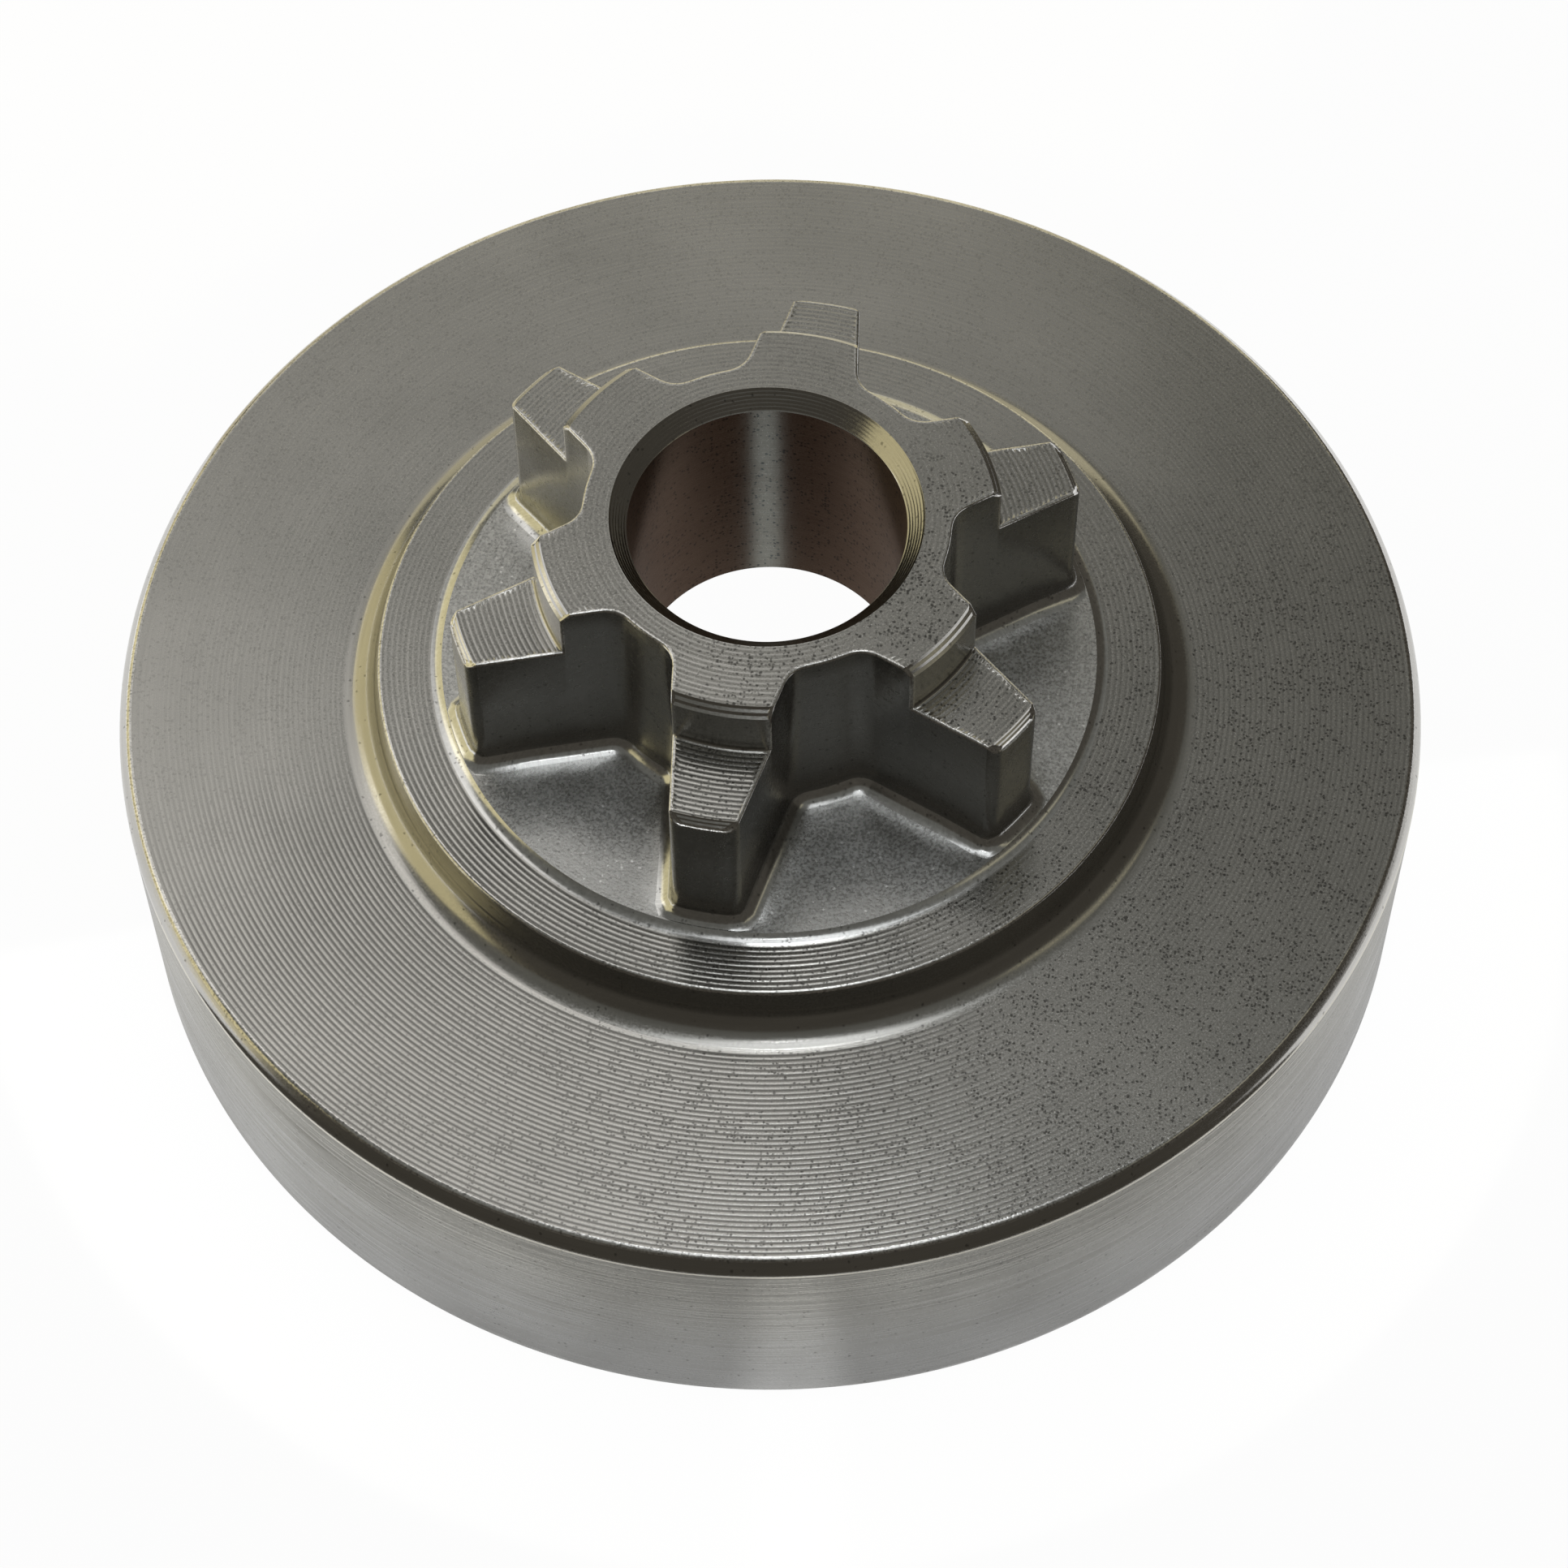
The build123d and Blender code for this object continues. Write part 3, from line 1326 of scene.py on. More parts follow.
    def hub_side(self, sketch: MeshSketch, path: WallPath, waist: list[int]) -> None:
        """The part of a wall that stands above the teeth, on one side of the tooth.

        Args:
            sketch: What the wall is drawn in.
            path: The wall's upper edge on that side.
            waist: The wall's row just under the teeth's tops, from that side on.
        """
        width = len(path.hub) + 1
        below = waist[:width]
        for point in path.step[:0:-1]:
            places = [(*column.plan, point.level) for column in path.hub]
            current = sketch.row([*places, point.edge(1, self.edge_round)])
            sketch.band(below, current)
            if point is path.step[-1]:
                sketch.face(below[-1], waist[width], current[-1])
            below = current
        crown = path.hub + path.step[:1]
        sketch.band(below, sketch.row(point.edge(1, self.edge_round) for point in crown))

    def rim_point(self, number: int, count: int) -> np.ndarray:
        """The point on the floor's outer circle that belongs to one of the wall's columns."""
        share = math.pi / TOOTH_COUNT
        angle = -share + 2 * share * number / (count - 1)
        return self.floor_radius * direction(angle)

    def dishes(self, columns: list[WallPoint]) -> list[tuple[float, float]]:
        """How the floor dishes up towards each of the wall's columns.

        Args:
            columns: The wall's plan points.

        Returns:
            For each column, how far out the dish reaches and its steepest slope.
        """
        found = []
        for number, column in enumerate(columns):
            foot = column.plan + self.base_fillet * column.wall_normal[:2]
            run = self.floor_radius - self.dish_margin - float(np.linalg.norm(foot))
            way = float(np.linalg.norm(self.rim_point(number, len(columns)) - foot))
            room = min(self.dish_width, self.dish_way_share * way, self.dish_run_share * run)
            reach = max(self.dish_least, room)
            slope = math.tan(math.radians(self.dish_angle * reach / self.dish_width))
            found.append((reach, slope))
        return found

    def fillet_row(self, columns: list[WallPoint], share: float) -> list[tuple[float, ...]]:
        """One row of the fillet at the wall's foot, cut off where the boss's ring was turned.

        Args:
            columns: The wall's plan points.
            share: Zero at the wall, one at the floor.

        Returns:
            The row's places in millimetres.
        """
        places = []
        size, rim = self.base_fillet, self.floor_radius - self.rim_land
        for column, (reach, slope) in zip(columns, self.dishes(columns)):
            normal = column.wall_normal[:2]
            along = float(column.plan @ normal)
            room = -along + math.sqrt(along**2 - float(column.plan @ column.plan) + rim**2)
            widest = math.acos(1 - min(size, room) / size)
            last = min(widest, math.pi / 2 - math.atan(slope))
            turn = last * share
            out = size * (1 - math.cos(turn))
            rise = size * (math.sin(last) - math.sin(turn))
            cut = size * (1 - math.sin(last)) if last == widest else slope * reach / 2
            places.append((*(column.plan + out * normal), self.floor_level + rise + cut))
        return places

    def floor(self) -> MeshSketch:
        """The forged floor of one tooth's share, from the fillet's foot out to the boss's step.

        Returns:
            The drawn share, with the tooth along the first axis.
        """
        sketch = MeshSketch(Finish.FORGED_FLOOR)
        columns = self.wall_columns()
        start = self.fillet_row(columns, 1)
        dishes = self.dishes(columns)
        rows = [sketch.row(start)]
        for part in self.floor_shares:
            places = []
            for number, (near, (reach, slope)) in enumerate(zip(start, dishes)):
                foot = np.array(near[:2])
                way = self.rim_point(number, len(columns)) - foot
                left = max(0.0, reach - part * float(np.linalg.norm(way)))
                rise = slope * left**2 / (2 * reach)
                places.append((*(foot + way * part), self.floor_level + rise))
            rows.append(sketch.row(places))
        sketch.bands(rows)
        return sketch

    def bore(self) -> Section:
        """The half section of the bore's wall and lower chamfer, from the foot upwards."""
        section = Section(self.bore_radius + self.bore_foot_chamfer, self.bore_foot_level)
        return section.to(
            (self.bore_radius, self.bore_foot_level + self.bore_foot_chamfer),
            (self.bore_radius, self.hub_top - self.bore_chamfer),
        )

    def bore_bevel(self) -> Section:
        """The half section of the turned bevel at the bore's mouth, with raised ridges."""
        section = Section(self.bore_radius, self.hub_top - self.bore_chamfer)
        end = self.bore_mouth - self.bore_land, self.hub_top - self.bore_land
        section.turned(*end, self.bore_ridges, -self.bore_ridge_height)
        return section.to((self.bore_mouth, self.hub_top))

    def build(self, shop: Workshop) -> None:
        """Makes the sprocket's skins."""
        shop.repeat_teeth("tooth_tops", self.tops())
        shop.repeat_teeth("tooth_flanks", self.flanks())
        shop.repeat_teeth("tooth_floor", self.floor())
        shop.turn("bore", self.bore(), Finish.REAMED_BORE)
        shop.turn("bore_bevel", self.bore_bevel(), Finish.TURNED_STEP)


@dataclass(frozen=True)
class SteelFinish:
    """How one finish looks. Sizes are in millimetres, shares and strengths from 0 to 1."""

    light: Colour
    dark: Colour
    roughness: float
    roughness_spread: float = 0.12
    line_pitch: float = 0.07
    line_depth: float = 0.0
    line_rough: float = 0.0
    # How dark the scallops' furrows turn: partly dirt in the groove bottoms, partly painted shade
    furrow_dirt_and_shade: float = 0.0
    mottle: float = 0.0
    speck_size: float = 0.17
    speck_share: float = 0.12
    speck_dark: float = 0.5
    even_specks: float = 1.0
    glint_share: float = 0.0
    grain_size: float = 0.1
    grain_depth: float = 0.003
    stretch: float = 0.0


FINISHES: dict[Finish, SteelFinish] = {
    Finish.TURNED_FACE: SteelFinish(
        light=(0.575, 0.565, 0.54),
        dark=(0.445, 0.44, 0.42),
        roughness=0.22,
        line_pitch=0.05,
        line_depth=0.001,
        furrow_dirt_and_shade=0.66,
        mottle=0.2,
        speck_share=0.36,
        speck_dark=0.74,
        even_specks=0.25,
        grain_depth=0.0008,
    ),
    Finish.TURNED_WALL: SteelFinish(
        light=(0.44, 0.44, 0.435),
        dark=(0.27, 0.268, 0.262),
        roughness=0.34,
        line_pitch=0.16,
        line_depth=0.001,
        line_rough=0.7,
        speck_share=0.02,
        grain_depth=0.0004,
        stretch=0.6,
    ),
    Finish.TURNED_STEP: SteelFinish(
        light=(0.58, 0.57, 0.545),
        dark=(0.47, 0.46, 0.435),
        roughness=0.2,
        line_pitch=0.11,
        line_depth=0.004,
        speck_share=0.03,
        grain_depth=0.0006,
    ),
    # Real burrs on the rounded edges, in a brighter copy of the steel whose colour paints their
    # highlight
    Finish.BURR_EDGE: SteelFinish(
        light=(0.88, 0.87, 0.85),
        dark=(0.5, 0.49, 0.47),
        roughness=0.17,
        mottle=0.8,
        speck_size=0.12,
        speck_share=0.2,
        grain_size=0.11,
        grain_depth=0.006,
    ),
    Finish.FORGED_FLOOR: SteelFinish(
        light=(0.65, 0.65, 0.64),
        dark=(0.42, 0.42, 0.41),
        roughness=0.28,
        mottle=0.7,
        speck_size=0.15,
        speck_share=0.12,
        speck_dark=0.35,
        glint_share=0.018,
        grain_size=0.14,
        grain_depth=0.004,
    ),
    Finish.FORGED_FLANK: SteelFinish(
        light=(0.455, 0.455, 0.442),
        dark=(0.345, 0.343, 0.334),
        roughness=0.24,
        speck_share=0.03,
        grain_size=0.3,
        grain_depth=0.0008,
    ),
    # A smoother, brighter copy of the forged steel: its light colour paints the sheen at the fillets'
    # feet and the boss's step
    Finish.FORGED_FOOT: SteelFinish(
        light=(0.8, 0.8, 0.79),
        dark=(0.58, 0.58, 0.57),
        roughness=0.17,
        roughness_spread=0.05,
        mottle=0.5,
        speck_share=0.1,
        grain_size=0.2,
        grain_depth=0.002,
    ),
    Finish.REAMED_BORE: SteelFinish(
        light=(0.335, 0.257, 0.198),
        dark=(0.187, 0.128, 0.092),
        roughness=0.32,
        mottle=0.6,
        speck_share=0.22,
        speck_dark=0.75,
        grain_depth=0.001,
        stretch=0.8,
    ),
    Finish.INSIDE: SteelFinish(
        light=(0.46, 0.455, 0.44),
        dark=(0.36, 0.355, 0.34),
        roughness=0.3,
        line_pitch=0.12,
        line_depth=0.003,
        speck_share=0.1,
    ),
}

# Colours of a dark pit, which the furrows' painted shade uses as well, and of a bright glint
PIT_AND_SHADE_COLOUR = (0.04, 0.038, 0.034, 1.0)
GLINT_COLOUR = (0.98, 0.98, 0.97, 1.0)

# How much a fine line leans with the height, and how often it breaks round the turn
LINE_LEAN = 1.37
LINE_BREAKS = 3.0

# Scales of the noises that crowd the specks, blur the edges of the lit and pitted sides and blotch the
# tones, per metre
CROWD_SCALE = 700.0
SIDE_WAVE_SCALE = 90.0
BLOTCH_SCALE = 140.0

# The part of a noise's range that is used, and how far the blur of the lit and pitted sides reaches
NOISE_SPAN = (0.3, 0.7)
CROWD_SPAN = (0.35, 0.65)
CROWDING = (0.3, 1.7)
SIDE_BLUR = 0.3

# Where a speck fades, where a furrow's painted shade sets in, and how much of it is kept off the lit
# side
DOT_SPAN = (0.2, 0.6)
FURROW_SPAN = (0.6, 0.98)
FAINT_FURROW = 0.3
DULL_FURROW = 0.04

# A quarter turn sets the stretch of a light's image across the turning lines
STRETCH_TURN = 0.25


class SteelShop:
    """Builds the shared shader groups and the material of each finish."""

    def __init__(self) -> None:
        """Builds the groups once."""
        self.lines = self.lathe_lines()
        self.specks = self.steel_specks()
        self.sides = self.lit_and_pitted_sides()
        self.tone = self.steel_tone()

    @staticmethod
    def group(name: str, inputs: dict[str, Any], *outputs: str, kind: str = NUMBER) -> NodeBoard:
        """A shader group that reads a place and gives outputs of one kind."""
        sockets = dict.fromkeys(outputs, kind)
        return NodeBoard.group(name, "ShaderNodeTree", {"Vector": VECTOR, **inputs}, sockets)

    @staticmethod
    def flat_turn(board: NodeBoard) -> tuple[Socket, Socket]:
        """The place in plan, and its direction from the axis at length one."""
        flat = board.vector_math("MULTIPLY", board.given["Vector"], (1.0, 1.0, 0.0))[0]
        return flat, board.vector_math("NORMALIZE", flat)[0]

    def lathe_lines(self) -> bpy.types.NodeTree:
        """The group that draws fine lines along the turn, each a long broken streak."""
        board = self.group("lathe_lines", {"Pitch": 0.0}, "Streak")
        flat, turn = self.flat_turn(board)
        radius = board.vector_math("LENGTH", flat)["Value"]
        place = board.add("ShaderNodeSeparateXYZ", {0: board.given["Vector"]})
        around = board.add("ShaderNodeSeparateXYZ", {0: turn})
        # Radius and height together, so that faces, walls and bevels all get lines
        across = board.math("MULTIPLY_ADD", place.outputs["Z"], LINE_LEAN, radius)
        spot = board.combine(
            board.math("MULTIPLY", around.outputs["X"], LINE_BREAKS),
            board.math("MULTIPLY", around.outputs["Y"], LINE_BREAKS),
            board.math("DIVIDE", across, board.given["Pitch"]),
        )
        streak = board.noise(spot, 1.0, 2.0, roughness=0.6)[0]
        board.add("NodeGroupOutput", {0: streak})
        return board.tree

    def steel_specks(self) -> bpy.types.NodeTree:
        """The group that scatters dark specks and bright glints and gives the steel its grain."""
        names = ("Speck Size", "Speck Share", "Glint Share", "Grain Size")
        board = self.group("steel_specks", dict.fromkeys(names, 0.0), "Speck", "Glint", "Grain")
        place, size, share, glints, grain_size = (board.given[name] for name in ("Vector", *names))
        # The cells are bent by a noise so that the specks aren't round
        fine = board.math("DIVIDE", 1.0, size)
        bend = board.noise(place, fine, 2.0)["Color"]
        bent = board.vector_math("SUBTRACT", bend, (0.5, 0.5, 0.5))[0]
        scaled = board.add("ShaderNodeVectorMath", {0: bent, "Scale": size}, operation="SCALE")
        spot = board.vector_math("ADD", place, scaled.outputs[0])[0]
        cells = board.add("ShaderNodeTexVoronoi", {"Vector": spot, "Scale": fine}, feature="F1")
        chance = board.add("ShaderNodeSeparateColor", {0: cells.outputs["Color"]}).outputs
        dot = board.ramp(cells.outputs["Distance"], DOT_SPAN, (1.0, 0.0), smooth=True)
        # Specks crowd together in some places and are missing in others
        crowd = board.ramp(board.noise(place, CROWD_SCALE, 2.0)[0], CROWD_SPAN, CROWDING)
        chosen = board.math("LESS_THAN", chance[0], board.math("MULTIPLY", share, crowd))
        glinting = board.math("LESS_THAN", chance[1], glints)
        grain = board.noise(place, board.math("DIVIDE", 1.0, grain_size), 3.0)[0]
        marks = (board.math("MULTIPLY", mark, dot) for mark in (chosen, glinting))
        board.add("NodeGroupOutput", dict(enumerate((*marks, grain))))
        return board.tree

    def lit_and_pitted_sides(self) -> bpy.types.NodeTree:
        """The group that finds the lit side, where furrows keep full painted shade, and the pitted and
        faint sides.
        """
        reaches = {
            "Crisp": (CRISP_ANGLE, CRISP_FROM, CRISP_FULL),
            "Pitted": (PITTED_ANGLE, PITTED_FROM, PITTED_FULL),
            "Faint": (FAINT_ANGLE, FAINT_FROM, FAINT_FULL),
        }
        board = self.group("lit_and_pitted_sides", {}, *reaches)
        turn = self.flat_turn(board)[1]
        wave = board.noise(board.given["Vector"], SIDE_WAVE_SCALE, 2.0)[0]
        uneven = board.math("MULTIPLY_ADD", wave, SIDE_BLUR, -SIDE_BLUR / 2)
        sides = {}
        for name, (angle, start, full) in reaches.items():
            facing = (*direction(math.radians(angle)), 0.0)
            along = board.vector_math("DOT_PRODUCT", turn, facing)["Value"]
            sides[name] = board.ramp(board.math("ADD", along, uneven), (start, full), smooth=True)
        board.add("NodeGroupOutput", sides)
        return board.tree

    def steel_tone(self) -> bpy.types.NodeTree:
        """The group that mixes two tones in soft blotches and adds the furrows' painted shade, specks
        and glints.
        """
        names = ("Streak", "Grain", "Mottle", "Furrow", "Speck", "Glint")
        inputs = {"Light": COLOUR, "Dark": COLOUR, **dict.fromkeys(names, 0.0)}
        board = self.group("steel_tone", inputs, "Color", kind=COLOUR)
        given = board.given
        blotch = board.math("MULTIPLY", board.noise(given["Vector"], BLOTCH_SCALE, 4.0)[0], 0.5)
        streaked = board.math("MULTIPLY_ADD", given["Streak"], 0.5, blotch)
        grain = board.math("SUBTRACT", given["Grain"], 0.5)
        share = board.ramp(
            board.math("MULTIPLY_ADD", grain, given["Mottle"], streaked), NOISE_SPAN
        )
        mixed = board.blend(share, given["Dark"], given["Light"])
        shade = board.math("MAXIMUM", given["Furrow"], given["Speck"])
        marked = board.blend(shade, mixed, PIT_AND_SHADE_COLOUR)
        board.add("NodeGroupOutput", {0: board.blend(given["Glint"], marked, GLINT_COLOUR)})
        return board.tree

    def material(self, finish: Finish) -> bpy.types.Material:
        """The material of one finish.

        Args:
            finish: Which finish.

        Returns:
            The material.
        """
        look = FINISHES[finish]
        made, board = NodeBoard.material(finish.value)
        place = board.add("ShaderNodeTexCoord").outputs["Object"]

        def effect(group: bpy.types.NodeTree, inputs: dict[str, Any]) -> Any:
            """The outputs of a shared group at this place."""
            values = {"Vector": place, **inputs}
            return board.add("ShaderNodeGroup", values, node_tree=group).outputs

        streak = effect(self.lines, {"Pitch": look.line_pitch * MM})["Streak"]
        speck_values = {
            "Speck Size": look.speck_size * MM,
            "Speck Share": look.speck_share,
            "Glint Share": look.glint_share,
            "Grain Size": look.grain_size * MM,
        }
        specks = effect(self.specks, speck_values)
        sides = effect(self.sides, {})
        even = look.even_specks * look.speck_dark
        pits = board.math("MULTIPLY_ADD", sides["Pitted"], look.speck_dark - even, even)
        tone_values = {
            "Light": (*look.light, 1.0),
            "Dark": (*look.dark, 1.0),
            "Streak": streak,
            "Grain": specks["Grain"],
            "Mottle": look.mottle,
            "Speck": board.math("MULTIPLY", specks["Speck"], pits),
            "Glint": specks["Glint"],
        }
        # The furrows darken: painted shade, partly dirt in the groove bottoms, kept full only on the
        # lit side
        if look.furrow_dirt_and_shade:
            depth = board.add("ShaderNodeAttribute", attribute_name=FURROW).outputs["Fac"]
            line = board.ramp(depth, FURROW_SPAN, (0.0, look.furrow_dirt_and_shade), smooth=True)
            faint = board.math("MULTIPLY_ADD", sides["Faint"], FAINT_FURROW, DULL_FURROW)
            kept = board.math("MAXIMUM", sides["Crisp"], faint)
            tone_values["Furrow"] = board.math("MULTIPLY", line, kept)
        spread = look.roughness_spread / 2
        ends = look.roughness - spread, look.roughness + spread
        rough = board.ramp(specks["Grain"], NOISE_SPAN, ends)
        streaked = board.math("MULTIPLY_ADD", streak, look.line_rough, rough)
        cut = board.math("MULTIPLY", streak, look.line_depth * MM)
        height = board.math("MULTIPLY_ADD", specks["Grain"], look.grain_depth * MM, cut)
        bump = board.add("ShaderNodeBump", {"Height": height, "Distance": 1.0, "Strength": 1.0})
        shader = board.add(
            "ShaderNodeBsdfPrincipled",
            {
                "Base Color": effect(self.tone, tone_values)["Color"],
                "Metallic": 1.0,
                "Roughness": board.math("SUBTRACT", streaked, look.line_rough / 2),
                "Normal": bump.outputs[0],
            },
        )
        if look.stretch:
            # Lines along the turn spread a light's image up and down the wall and the bore
            turn = board.add("ShaderNodeTangent", direction_type="RADIAL", axis="Z")
            board.tree.links.new(turn.outputs[0], shader.inputs["Tangent"])
            shader.inputs["Anisotropic"].default_value = look.stretch
            shader.inputs["Anisotropic Rotation"].default_value = STRETCH_TURN
        board.add("ShaderNodeOutputMaterial", {0: shader.outputs[0]})
        return made

    def materials(self) -> dict[Finish, bpy.types.Material]:
        """The material of every finish."""
        return {finish: self.material(finish) for finish in Finish}


@dataclass(frozen=True)
class SoftLamp:
    """A rectangular soft lamp, which hangs level unless it is aimed at the object.

    Its place is right of, behind and above the object in metres, its size is in metres and its
    power in watts.
    """

    name: str
    place: tuple[float, float, float]
    size: tuple[float, float]
    power: float
    tint: Colour
    aimed: bool = False


# Tints of the lamps
WHITE = (1.0, 0.98, 0.95)
COOL = (0.95, 0.98, 1.0)
WARM = (1.0, 0.87, 0.45)
OLIVE = (1.0, 0.9, 0.58)

LAMPS = (
    SoftLamp("front_panel", (-0.2275, 0.12, 0.3), (0.475, 0.07), 0.1, WHITE),
    SoftLamp("left_panel", (-0.26, 0.18, 0.3), (0.41, 0.05), 0.0335, WHITE),
    SoftLamp("back_panel", (-0.125, 0.2825, 0.3), (0.35, 0.155), 0.042, WHITE),
    SoftLamp("right_panel", (0.09, 0.15, 0.3), (0.09, 0.15), 0.0012, WHITE),
    SoftLamp("key_box", (0.02, -0.01, 0.45), (0.14, 0.2), 0.062, COOL),
    SoftLamp("key_strip", (0.007, 0.0, 0.45), (0.03, 0.25), 0.2, COOL),
    SoftLamp("side_panel", (-0.46, 0.15, 0.2), (0.72, 0.44), 0.62, WARM, aimed=True),
    SoftLamp("low_panel", (0.05, 0.5, 0.2), (0.7, 0.42), 0.46, OLIVE, aimed=True),
    SoftLamp("right_strip", (0.22, -0.02, 0.3), (0.05, 0.2), 0.0095, OLIVE),
)

# Glows of the cards and of the room
DARK_CARD = (0.066, 0.06, 0.05)
DULL_CARD = (0.62, 0.55, 0.36)
BORE_CARD = (0.98, 1.36, 1.6)
WALL_NEAR = (1.0, 1.0, 0.99, 1.0)
WALL_FAR = (1.0, 0.97, 0.86, 1.0)
CUP_FRONT = (0.035, 0.02, 0.012, 1.0)
CUP_BACK = (0.28, 0.25, 0.235, 1.0)
ROOM = (0.13, 0.129, 0.117, 1.0)

# Where the wall card's glow changes, as distances right of the axis in metres, and its strengths
# there: it falls from the left, has an upright band near the middle and rises a little at the right
WALL_LEFT = (-27 * MM, -9 * MM)
WALL_LEFT_GLOW = (0.95, 0.67)
WALL_BAND_MIDDLE = 0.6 * MM
WALL_BAND = (1.0 * MM, 3.7 * MM)
WALL_BAND_GLOW = (0.3, 0.0)
WALL_RIGHT = (16 * MM, 32 * MM)
WALL_RIGHT_GLOW = (0.0, 0.15)

# Distances from the axis between which that card goes from near to far, its strength near the
# drum, and what is added to that far from it
WALL_DEPTH = (34.5 * MM, 39 * MM)
WALL_NEAR_GAIN = 0.97
WALL_FAR_GAIN = 0.25

# Where the cup's card turns pale, as distances behind the axis in metres
CUP_DEPTH = (-5 * MM, -0.3 * MM)

# The wedge that the bore mirrors: distances right of and behind the axis, and its height
BORE_WEDGE = ((-0.6, 0.0), (-3.3, -15.0), (3.3, -15.0), (0.6, 0.0))
BORE_WEDGE_HEIGHT = 0.8

# What a card's paint gives for the inputs of the card's Emission node
Paint = Callable[[NodeBoard], dict[str, Any]]


def even_glow(glow: Colour) -> Paint:
    """Paint of one even colour."""
    return lambda board: {"Color": (*glow, 1.0), "Strength": 1.0}


@dataclass(frozen=True)
class Studio:
    """Camera at the photograph's angle, pale floor, cards that only reflections see, soft lamps."""

    azimuth: float = 12.0
    elevation: float = 56.9
    roll: float = -0.98
    distance: float = 213.9
    target_level: float = 13.6
    target_pixel: tuple[float, float] = (948.3, 835.6)
    image_size: float = 1932.0
    focal_pixels: float = 5404.0
    sensor_width: float = 36.0
    nearest: float = 0.01
    floor_reach: float = 4000.0
    floor_grey: float = 0.86
    floor_white: float = 0.97
    card_reach: float = 450.0
    card_height: float = 480.0
    card_lift: float = 2.0
    card_step: int = 5
    lamp_aim: float = 0.015

    def turn(self) -> np.ndarray:
        """The turn about the axis that takes the photograph's front to the part's frame."""
        return np.array(Matrix.Rotation(math.radians(self.azimuth), 3, "Z"))

    def place(self, right: float, back: float, up: float) -> Vector:
        """A studio place from its distances right of, behind and above the object."""
        return Vector(self.turn() @ np.array((right, back, up)))

    def camera(self) -> None:
        """Makes the camera so that the drum's face falls on the photograph's pixels."""
        lean, roll = math.radians(self.elevation), math.radians(self.roll)
        ahead = np.array((0.0, math.cos(lean), -math.sin(lean)))
        up = np.array((0.0, math.sin(lean), math.cos(lean)))
        level_rows = np.array((np.array((1.0, 0.0, 0.0)), -up, ahead)) @ self.turn().T
        rolled = np.array(Matrix.Rotation(roll, 3, "Z")) @ level_rows
        across, down = (pixel - self.image_size / 2 for pixel in self.target_pixel)
        sight = Vector((across, down, self.focal_pixels))
        aim = Vector((0.0, 0.0, 1.0)).rotation_difference(sight).to_matrix()
        rows = np.array(aim) @ rolled
        data = bpy.data.cameras.new("photo_camera")
        data.sensor_width = self.sensor_width
        data.lens = self.focal_pixels * self.sensor_width / self.image_size
        data.clip_start = self.nearest
        camera = put_in_scene("photo_camera", data)
        axes = Matrix((rows[0], -rows[1], -rows[2])).transposed().to_4x4()
        start = np.array((0.0, 0.0, self.target_level)) - self.distance * (self.turn() @ ahead)
        camera.matrix_world = Matrix.Translation(Vector(start * MM)) @ axes
        bpy.context.scene.camera = camera

    def floor(self) -> bpy.types.Object:
        """A pale floor that shows white and keeps the object's shadow."""
        sketch = MeshSketch()
        reach = self.floor_reach
        sides = ((-1, -1), (1, -1), (1, 1), (-1, 1))
        sketch.face(*sketch.row((reach * x, reach * y, 0) for x, y in sides))
        floor = put_in_scene("floor", sketch.mesh("floor", sketch.finish))
        paper, board = NodeBoard.material("white_paper")
        grey = self.floor_grey
        matte = board.add("ShaderNodeBsdfDiffuse", {"Color": (grey, grey, grey, 1.0)})
        glow = board.add("ShaderNodeEmission", even_glow((1.0, 1.0, 1.0))(board))
        path = board.add("ShaderNodeLightPath").outputs
        seen = board.math("MAXIMUM", path["Is Camera Ray"], path["Is Glossy Ray"])
        seen = board.math("MAXIMUM", seen, path["Is Transmission Ray"])
        share = board.math("MULTIPLY", seen, self.floor_white)
        shades = {0: share, 1: matte.outputs[0], 2: glow.outputs[0]}
        mixed = board.add("ShaderNodeMixShader", shades)
        board.add("ShaderNodeOutputMaterial", {0: mixed.outputs[0]})
        floor.data.materials.append(paper)
        return floor

    def card(self, name: str, sketch: MeshSketch, paint: Paint) -> bpy.types.Object:
        """A card that only reflections see.

        Args:
            name: The card's name.
            sketch: Its shape.
            paint: How it glows.

        Returns:
            The card.
        """
        card = put_in_scene(name, sketch.mesh(name, sketch.finish))
        material, board = NodeBoard.material(name)
        lit = board.add("ShaderNodeEmission", paint(board))
        board.add("ShaderNodeOutputMaterial", {0: lit.outputs[0]})
        card.data.materials.append(material)
        card.visible_camera = False
        card.visible_shadow = False
        return card

    def round_card(
        self, name: str, turns: tuple[int, int], outline: Sequence[tuple[float, float]], paint: Paint
    ) -> bpy.types.Object:
        """A card that is bent round the object.

        Args:
            name: The card's name.
            turns: First and last angle in degrees, counted from the front towards the right.
            outline: Its section: radius, then height.
            paint: How it glows.

        Returns:
            The card.
        """
        sketch = MeshSketch()
        degrees = range(turns[0], turns[1] + 1, self.card_step)
        ways = [direction(math.radians(angle - 90 + self.azimuth)) for angle in degrees]
        sketch.bands(
            [sketch.row((*(reach * way), height) for way in ways) for reach, height in outline]
        )
        return self.card(name, sketch, paint)

    def along(self, board: NodeBoard, right: float, back: float) -> tuple[Socket, Socket]:
        """How far a card's point lies in a direction of the studio, and the point itself."""
        place = board.add("ShaderNodeTexCoord").outputs["Object"]
        way = tuple(self.place(right, back, 0.0))
        return board.vector_math("DOT_PRODUCT", place, way)["Value"], place

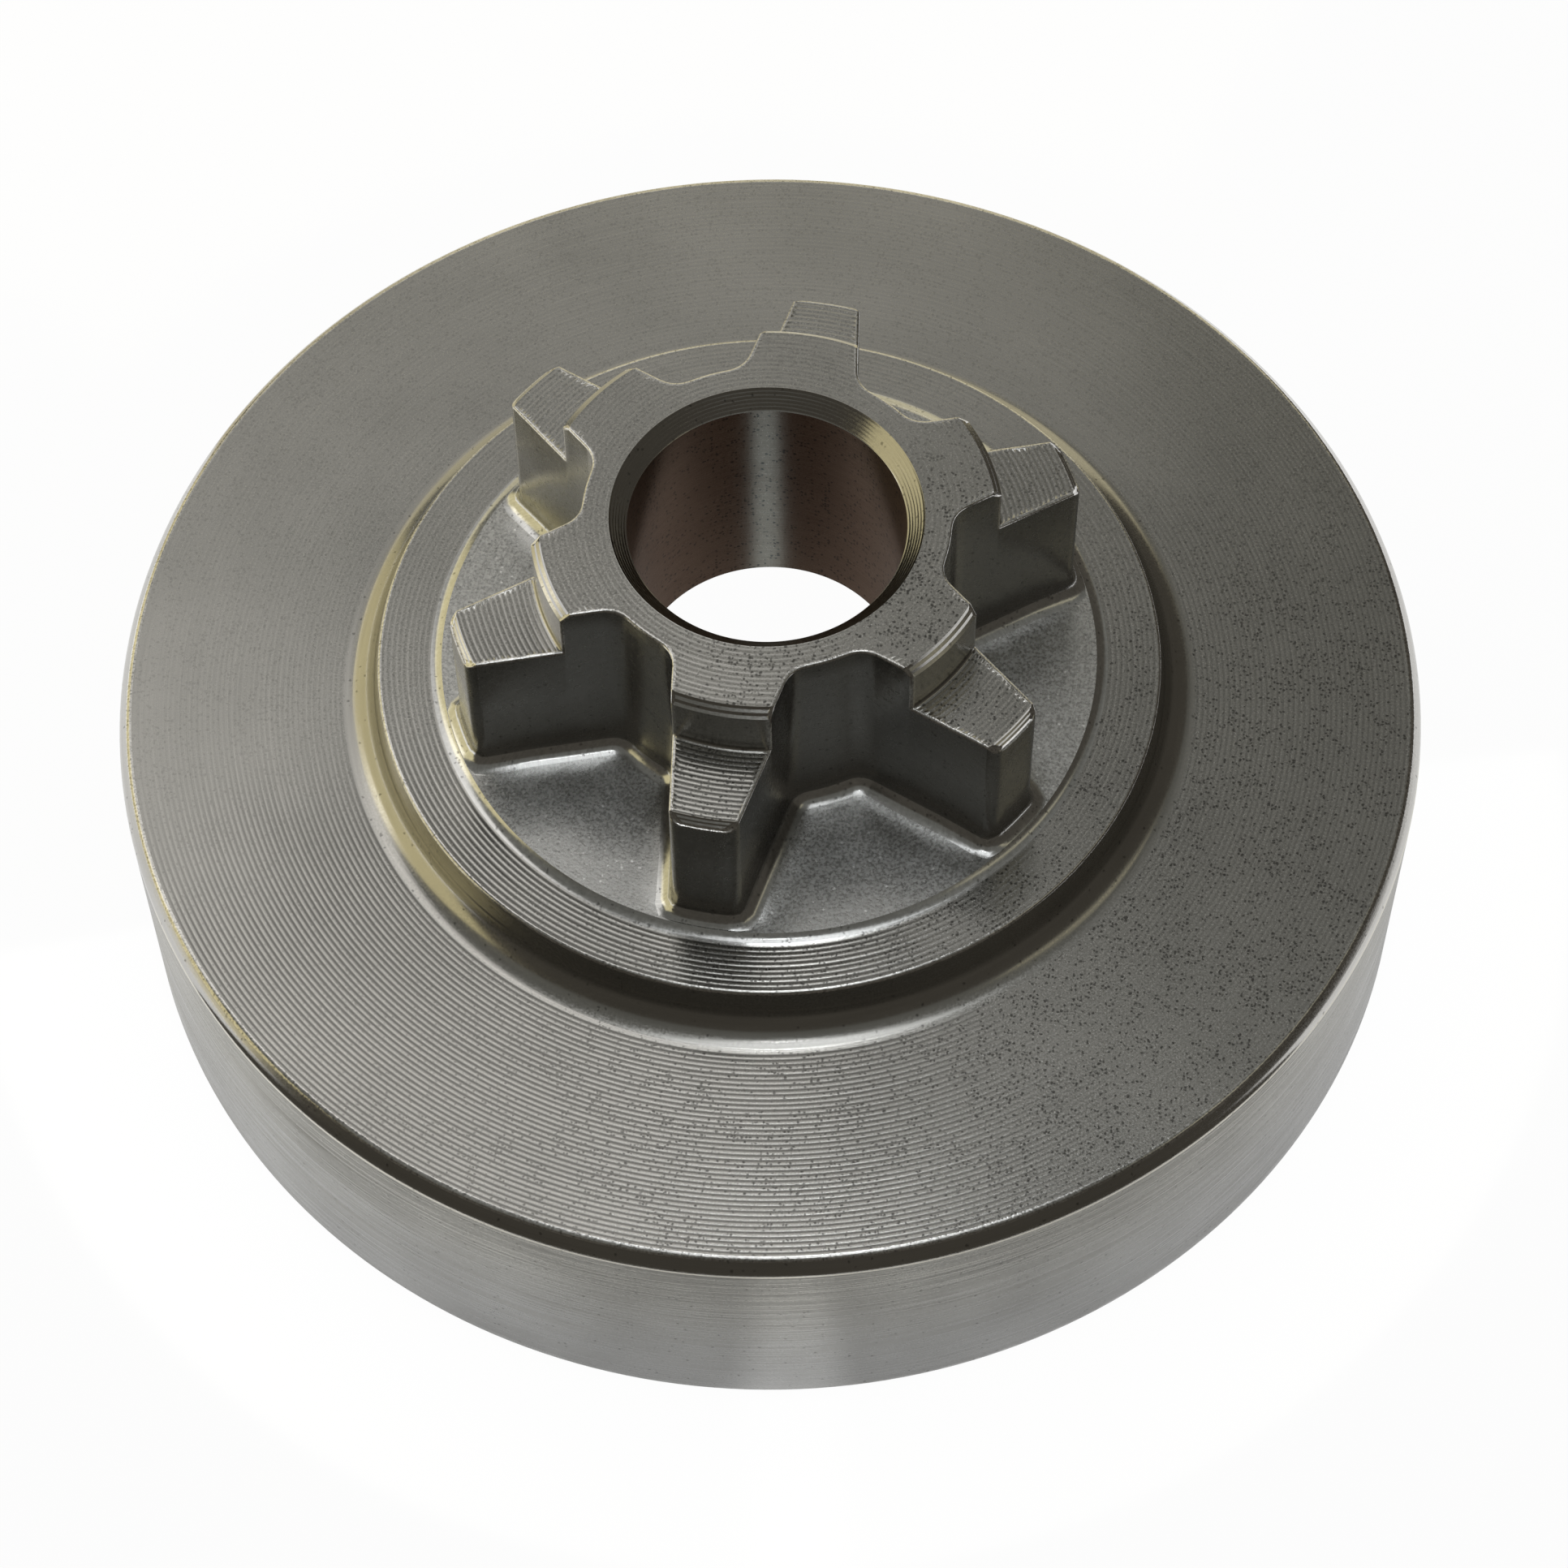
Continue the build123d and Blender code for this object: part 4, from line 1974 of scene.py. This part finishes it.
    def wall_paint(self, board: NodeBoard) -> dict[str, Any]:
        """Paint of the wall card: bright at the left, with an upright band near the middle."""
        right, place = self.along(board, 1.0, 0.0)
        reach = board.vector_math("LENGTH", place)["Value"]
        left_rise = board.ramp(right, WALL_LEFT, WALL_LEFT_GLOW)
        right_rise = board.ramp(right, WALL_RIGHT, WALL_RIGHT_GLOW)
        beside = board.math("ABSOLUTE", board.math("SUBTRACT", right, WALL_BAND_MIDDLE))
        band = board.ramp(beside, WALL_BAND, WALL_BAND_GLOW, smooth=True)
        rise = board.math("ADD", left_rise, board.math("ADD", right_rise, band))
        far = board.ramp(reach, WALL_DEPTH)
        gain = board.math("MULTIPLY_ADD", far, WALL_FAR_GAIN, WALL_NEAR_GAIN)
        strength = board.math("MULTIPLY", rise, gain)
        return {"Color": board.blend(far, WALL_NEAR, WALL_FAR), "Strength": strength}

    def cup_paint(self, board: NodeBoard) -> dict[str, Any]:
        """Paint of the card inside the cup: dark brown at the front and paler towards the back."""
        back, _ = self.along(board, 0.0, 1.0)
        pale = board.ramp(back, CUP_DEPTH, smooth=True)
        return {"Color": board.blend(pale, CUP_FRONT, CUP_BACK), "Strength": 1.0}

    def cards(self) -> list[bpy.types.Object]:
        """The cards of the studio.

        Returns:
            Dark cards round the front and the right, a duller floor behind, the floor card that the
            drum's wall mirrors, and the card and pale wedge in the cup that the bore mirrors.
        """
        dark, dull = even_glow(DARK_CARD), even_glow(DULL_CARD)
        edge = (self.card_reach, self.card_lift)
        screen = (edge, (self.card_reach, self.card_height))
        front = ((41.0, self.card_lift), *screen)
        right = ((150.0, self.card_lift), *screen)
        back = ((46.0, self.card_lift), edge)
        round_drum = ((31.8, 0.4), (41.0, 0.4))
        in_cup = ((0.5, 0.6), (28.0, 0.6))
        wedge = MeshSketch()
        corners = (self.place(*corner, BORE_WEDGE_HEIGHT) for corner in BORE_WEDGE)
        wedge.face(*wedge.row(tuple(corner) for corner in corners))
        return [
            self.round_card("front_card", (-70, 60), front, dark),
            self.round_card("right_card", (60, 150), right, dark),
            self.round_card("back_card", (150, 230), back, dull),
            self.round_card("wall_card", (-80, 95), round_drum, self.wall_paint),
            self.round_card("cup_card", (0, 360), in_cup, self.cup_paint),
            self.card("bore_card", wedge, even_glow(BORE_CARD)),
        ]

    def hang(self, lamp: SoftLamp) -> None:
        """Makes a soft lamp at its place."""
        data = bpy.data.lights.new(lamp.name, "AREA")
        data.shape = "RECTANGLE"
        data.size, data.size_y = lamp.size
        data.energy = lamp.power
        data.color = lamp.tint
        place = self.place(*lamp.place)
        turn = Matrix.Rotation(math.radians(self.azimuth), 3, "Z").to_quaternion()
        if lamp.aimed:
            turn = (Vector((0.0, 0.0, self.lamp_aim)) - place).to_track_quat("-Z", "Y")
        made = put_in_scene(lamp.name, data)
        made.location = place
        made.rotation_mode = "QUATERNION"
        made.rotation_quaternion = turn
        made.visible_camera = False

    def world(self) -> None:
        """A plain grey room."""
        world = bpy.data.worlds.new("room")
        world.use_nodes = True
        background = world.node_tree.nodes["Background"]
        background.inputs["Color"].default_value = ROOM
        background.inputs["Strength"].default_value = 1.0
        bpy.context.scene.world = world

    def build(self) -> None:
        """Sets up the whole studio."""
        self.camera()
        self.floor()
        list(self.cards())
        for lamp in LAMPS:
            self.hang(lamp)
        self.world()
        bpy.context.scene.view_settings.view_transform = "Standard"


def main() -> None:
    """Builds the steel piece and the studio."""
    logging.basicConfig(level=logging.INFO, format="%(name)s: %(message)s")
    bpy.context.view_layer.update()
    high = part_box(NODE)[1]
    shop = Workshop(SteelShop().materials())
    drum = Drum(radius=min(high.x, high.y) / MM)
    boss = Boss(web_level=drum.web_level)
    sprocket = Sprocket(
        floor_level=boss.floor_level, floor_radius=boss.floor_radius, hub_top=high.z / MM
    )
    drum.build(shop, boss.foot_end)
    boss.build(shop)
    sprocket.build(shop)
    piece = shop.join("drum_sprocket")
    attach(piece, BODY)
    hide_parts(NODE)
    LOG.info("piece %s stands for %s", piece.name, NODE)
    Studio().build()


if __name__ == "__main__":
    main()
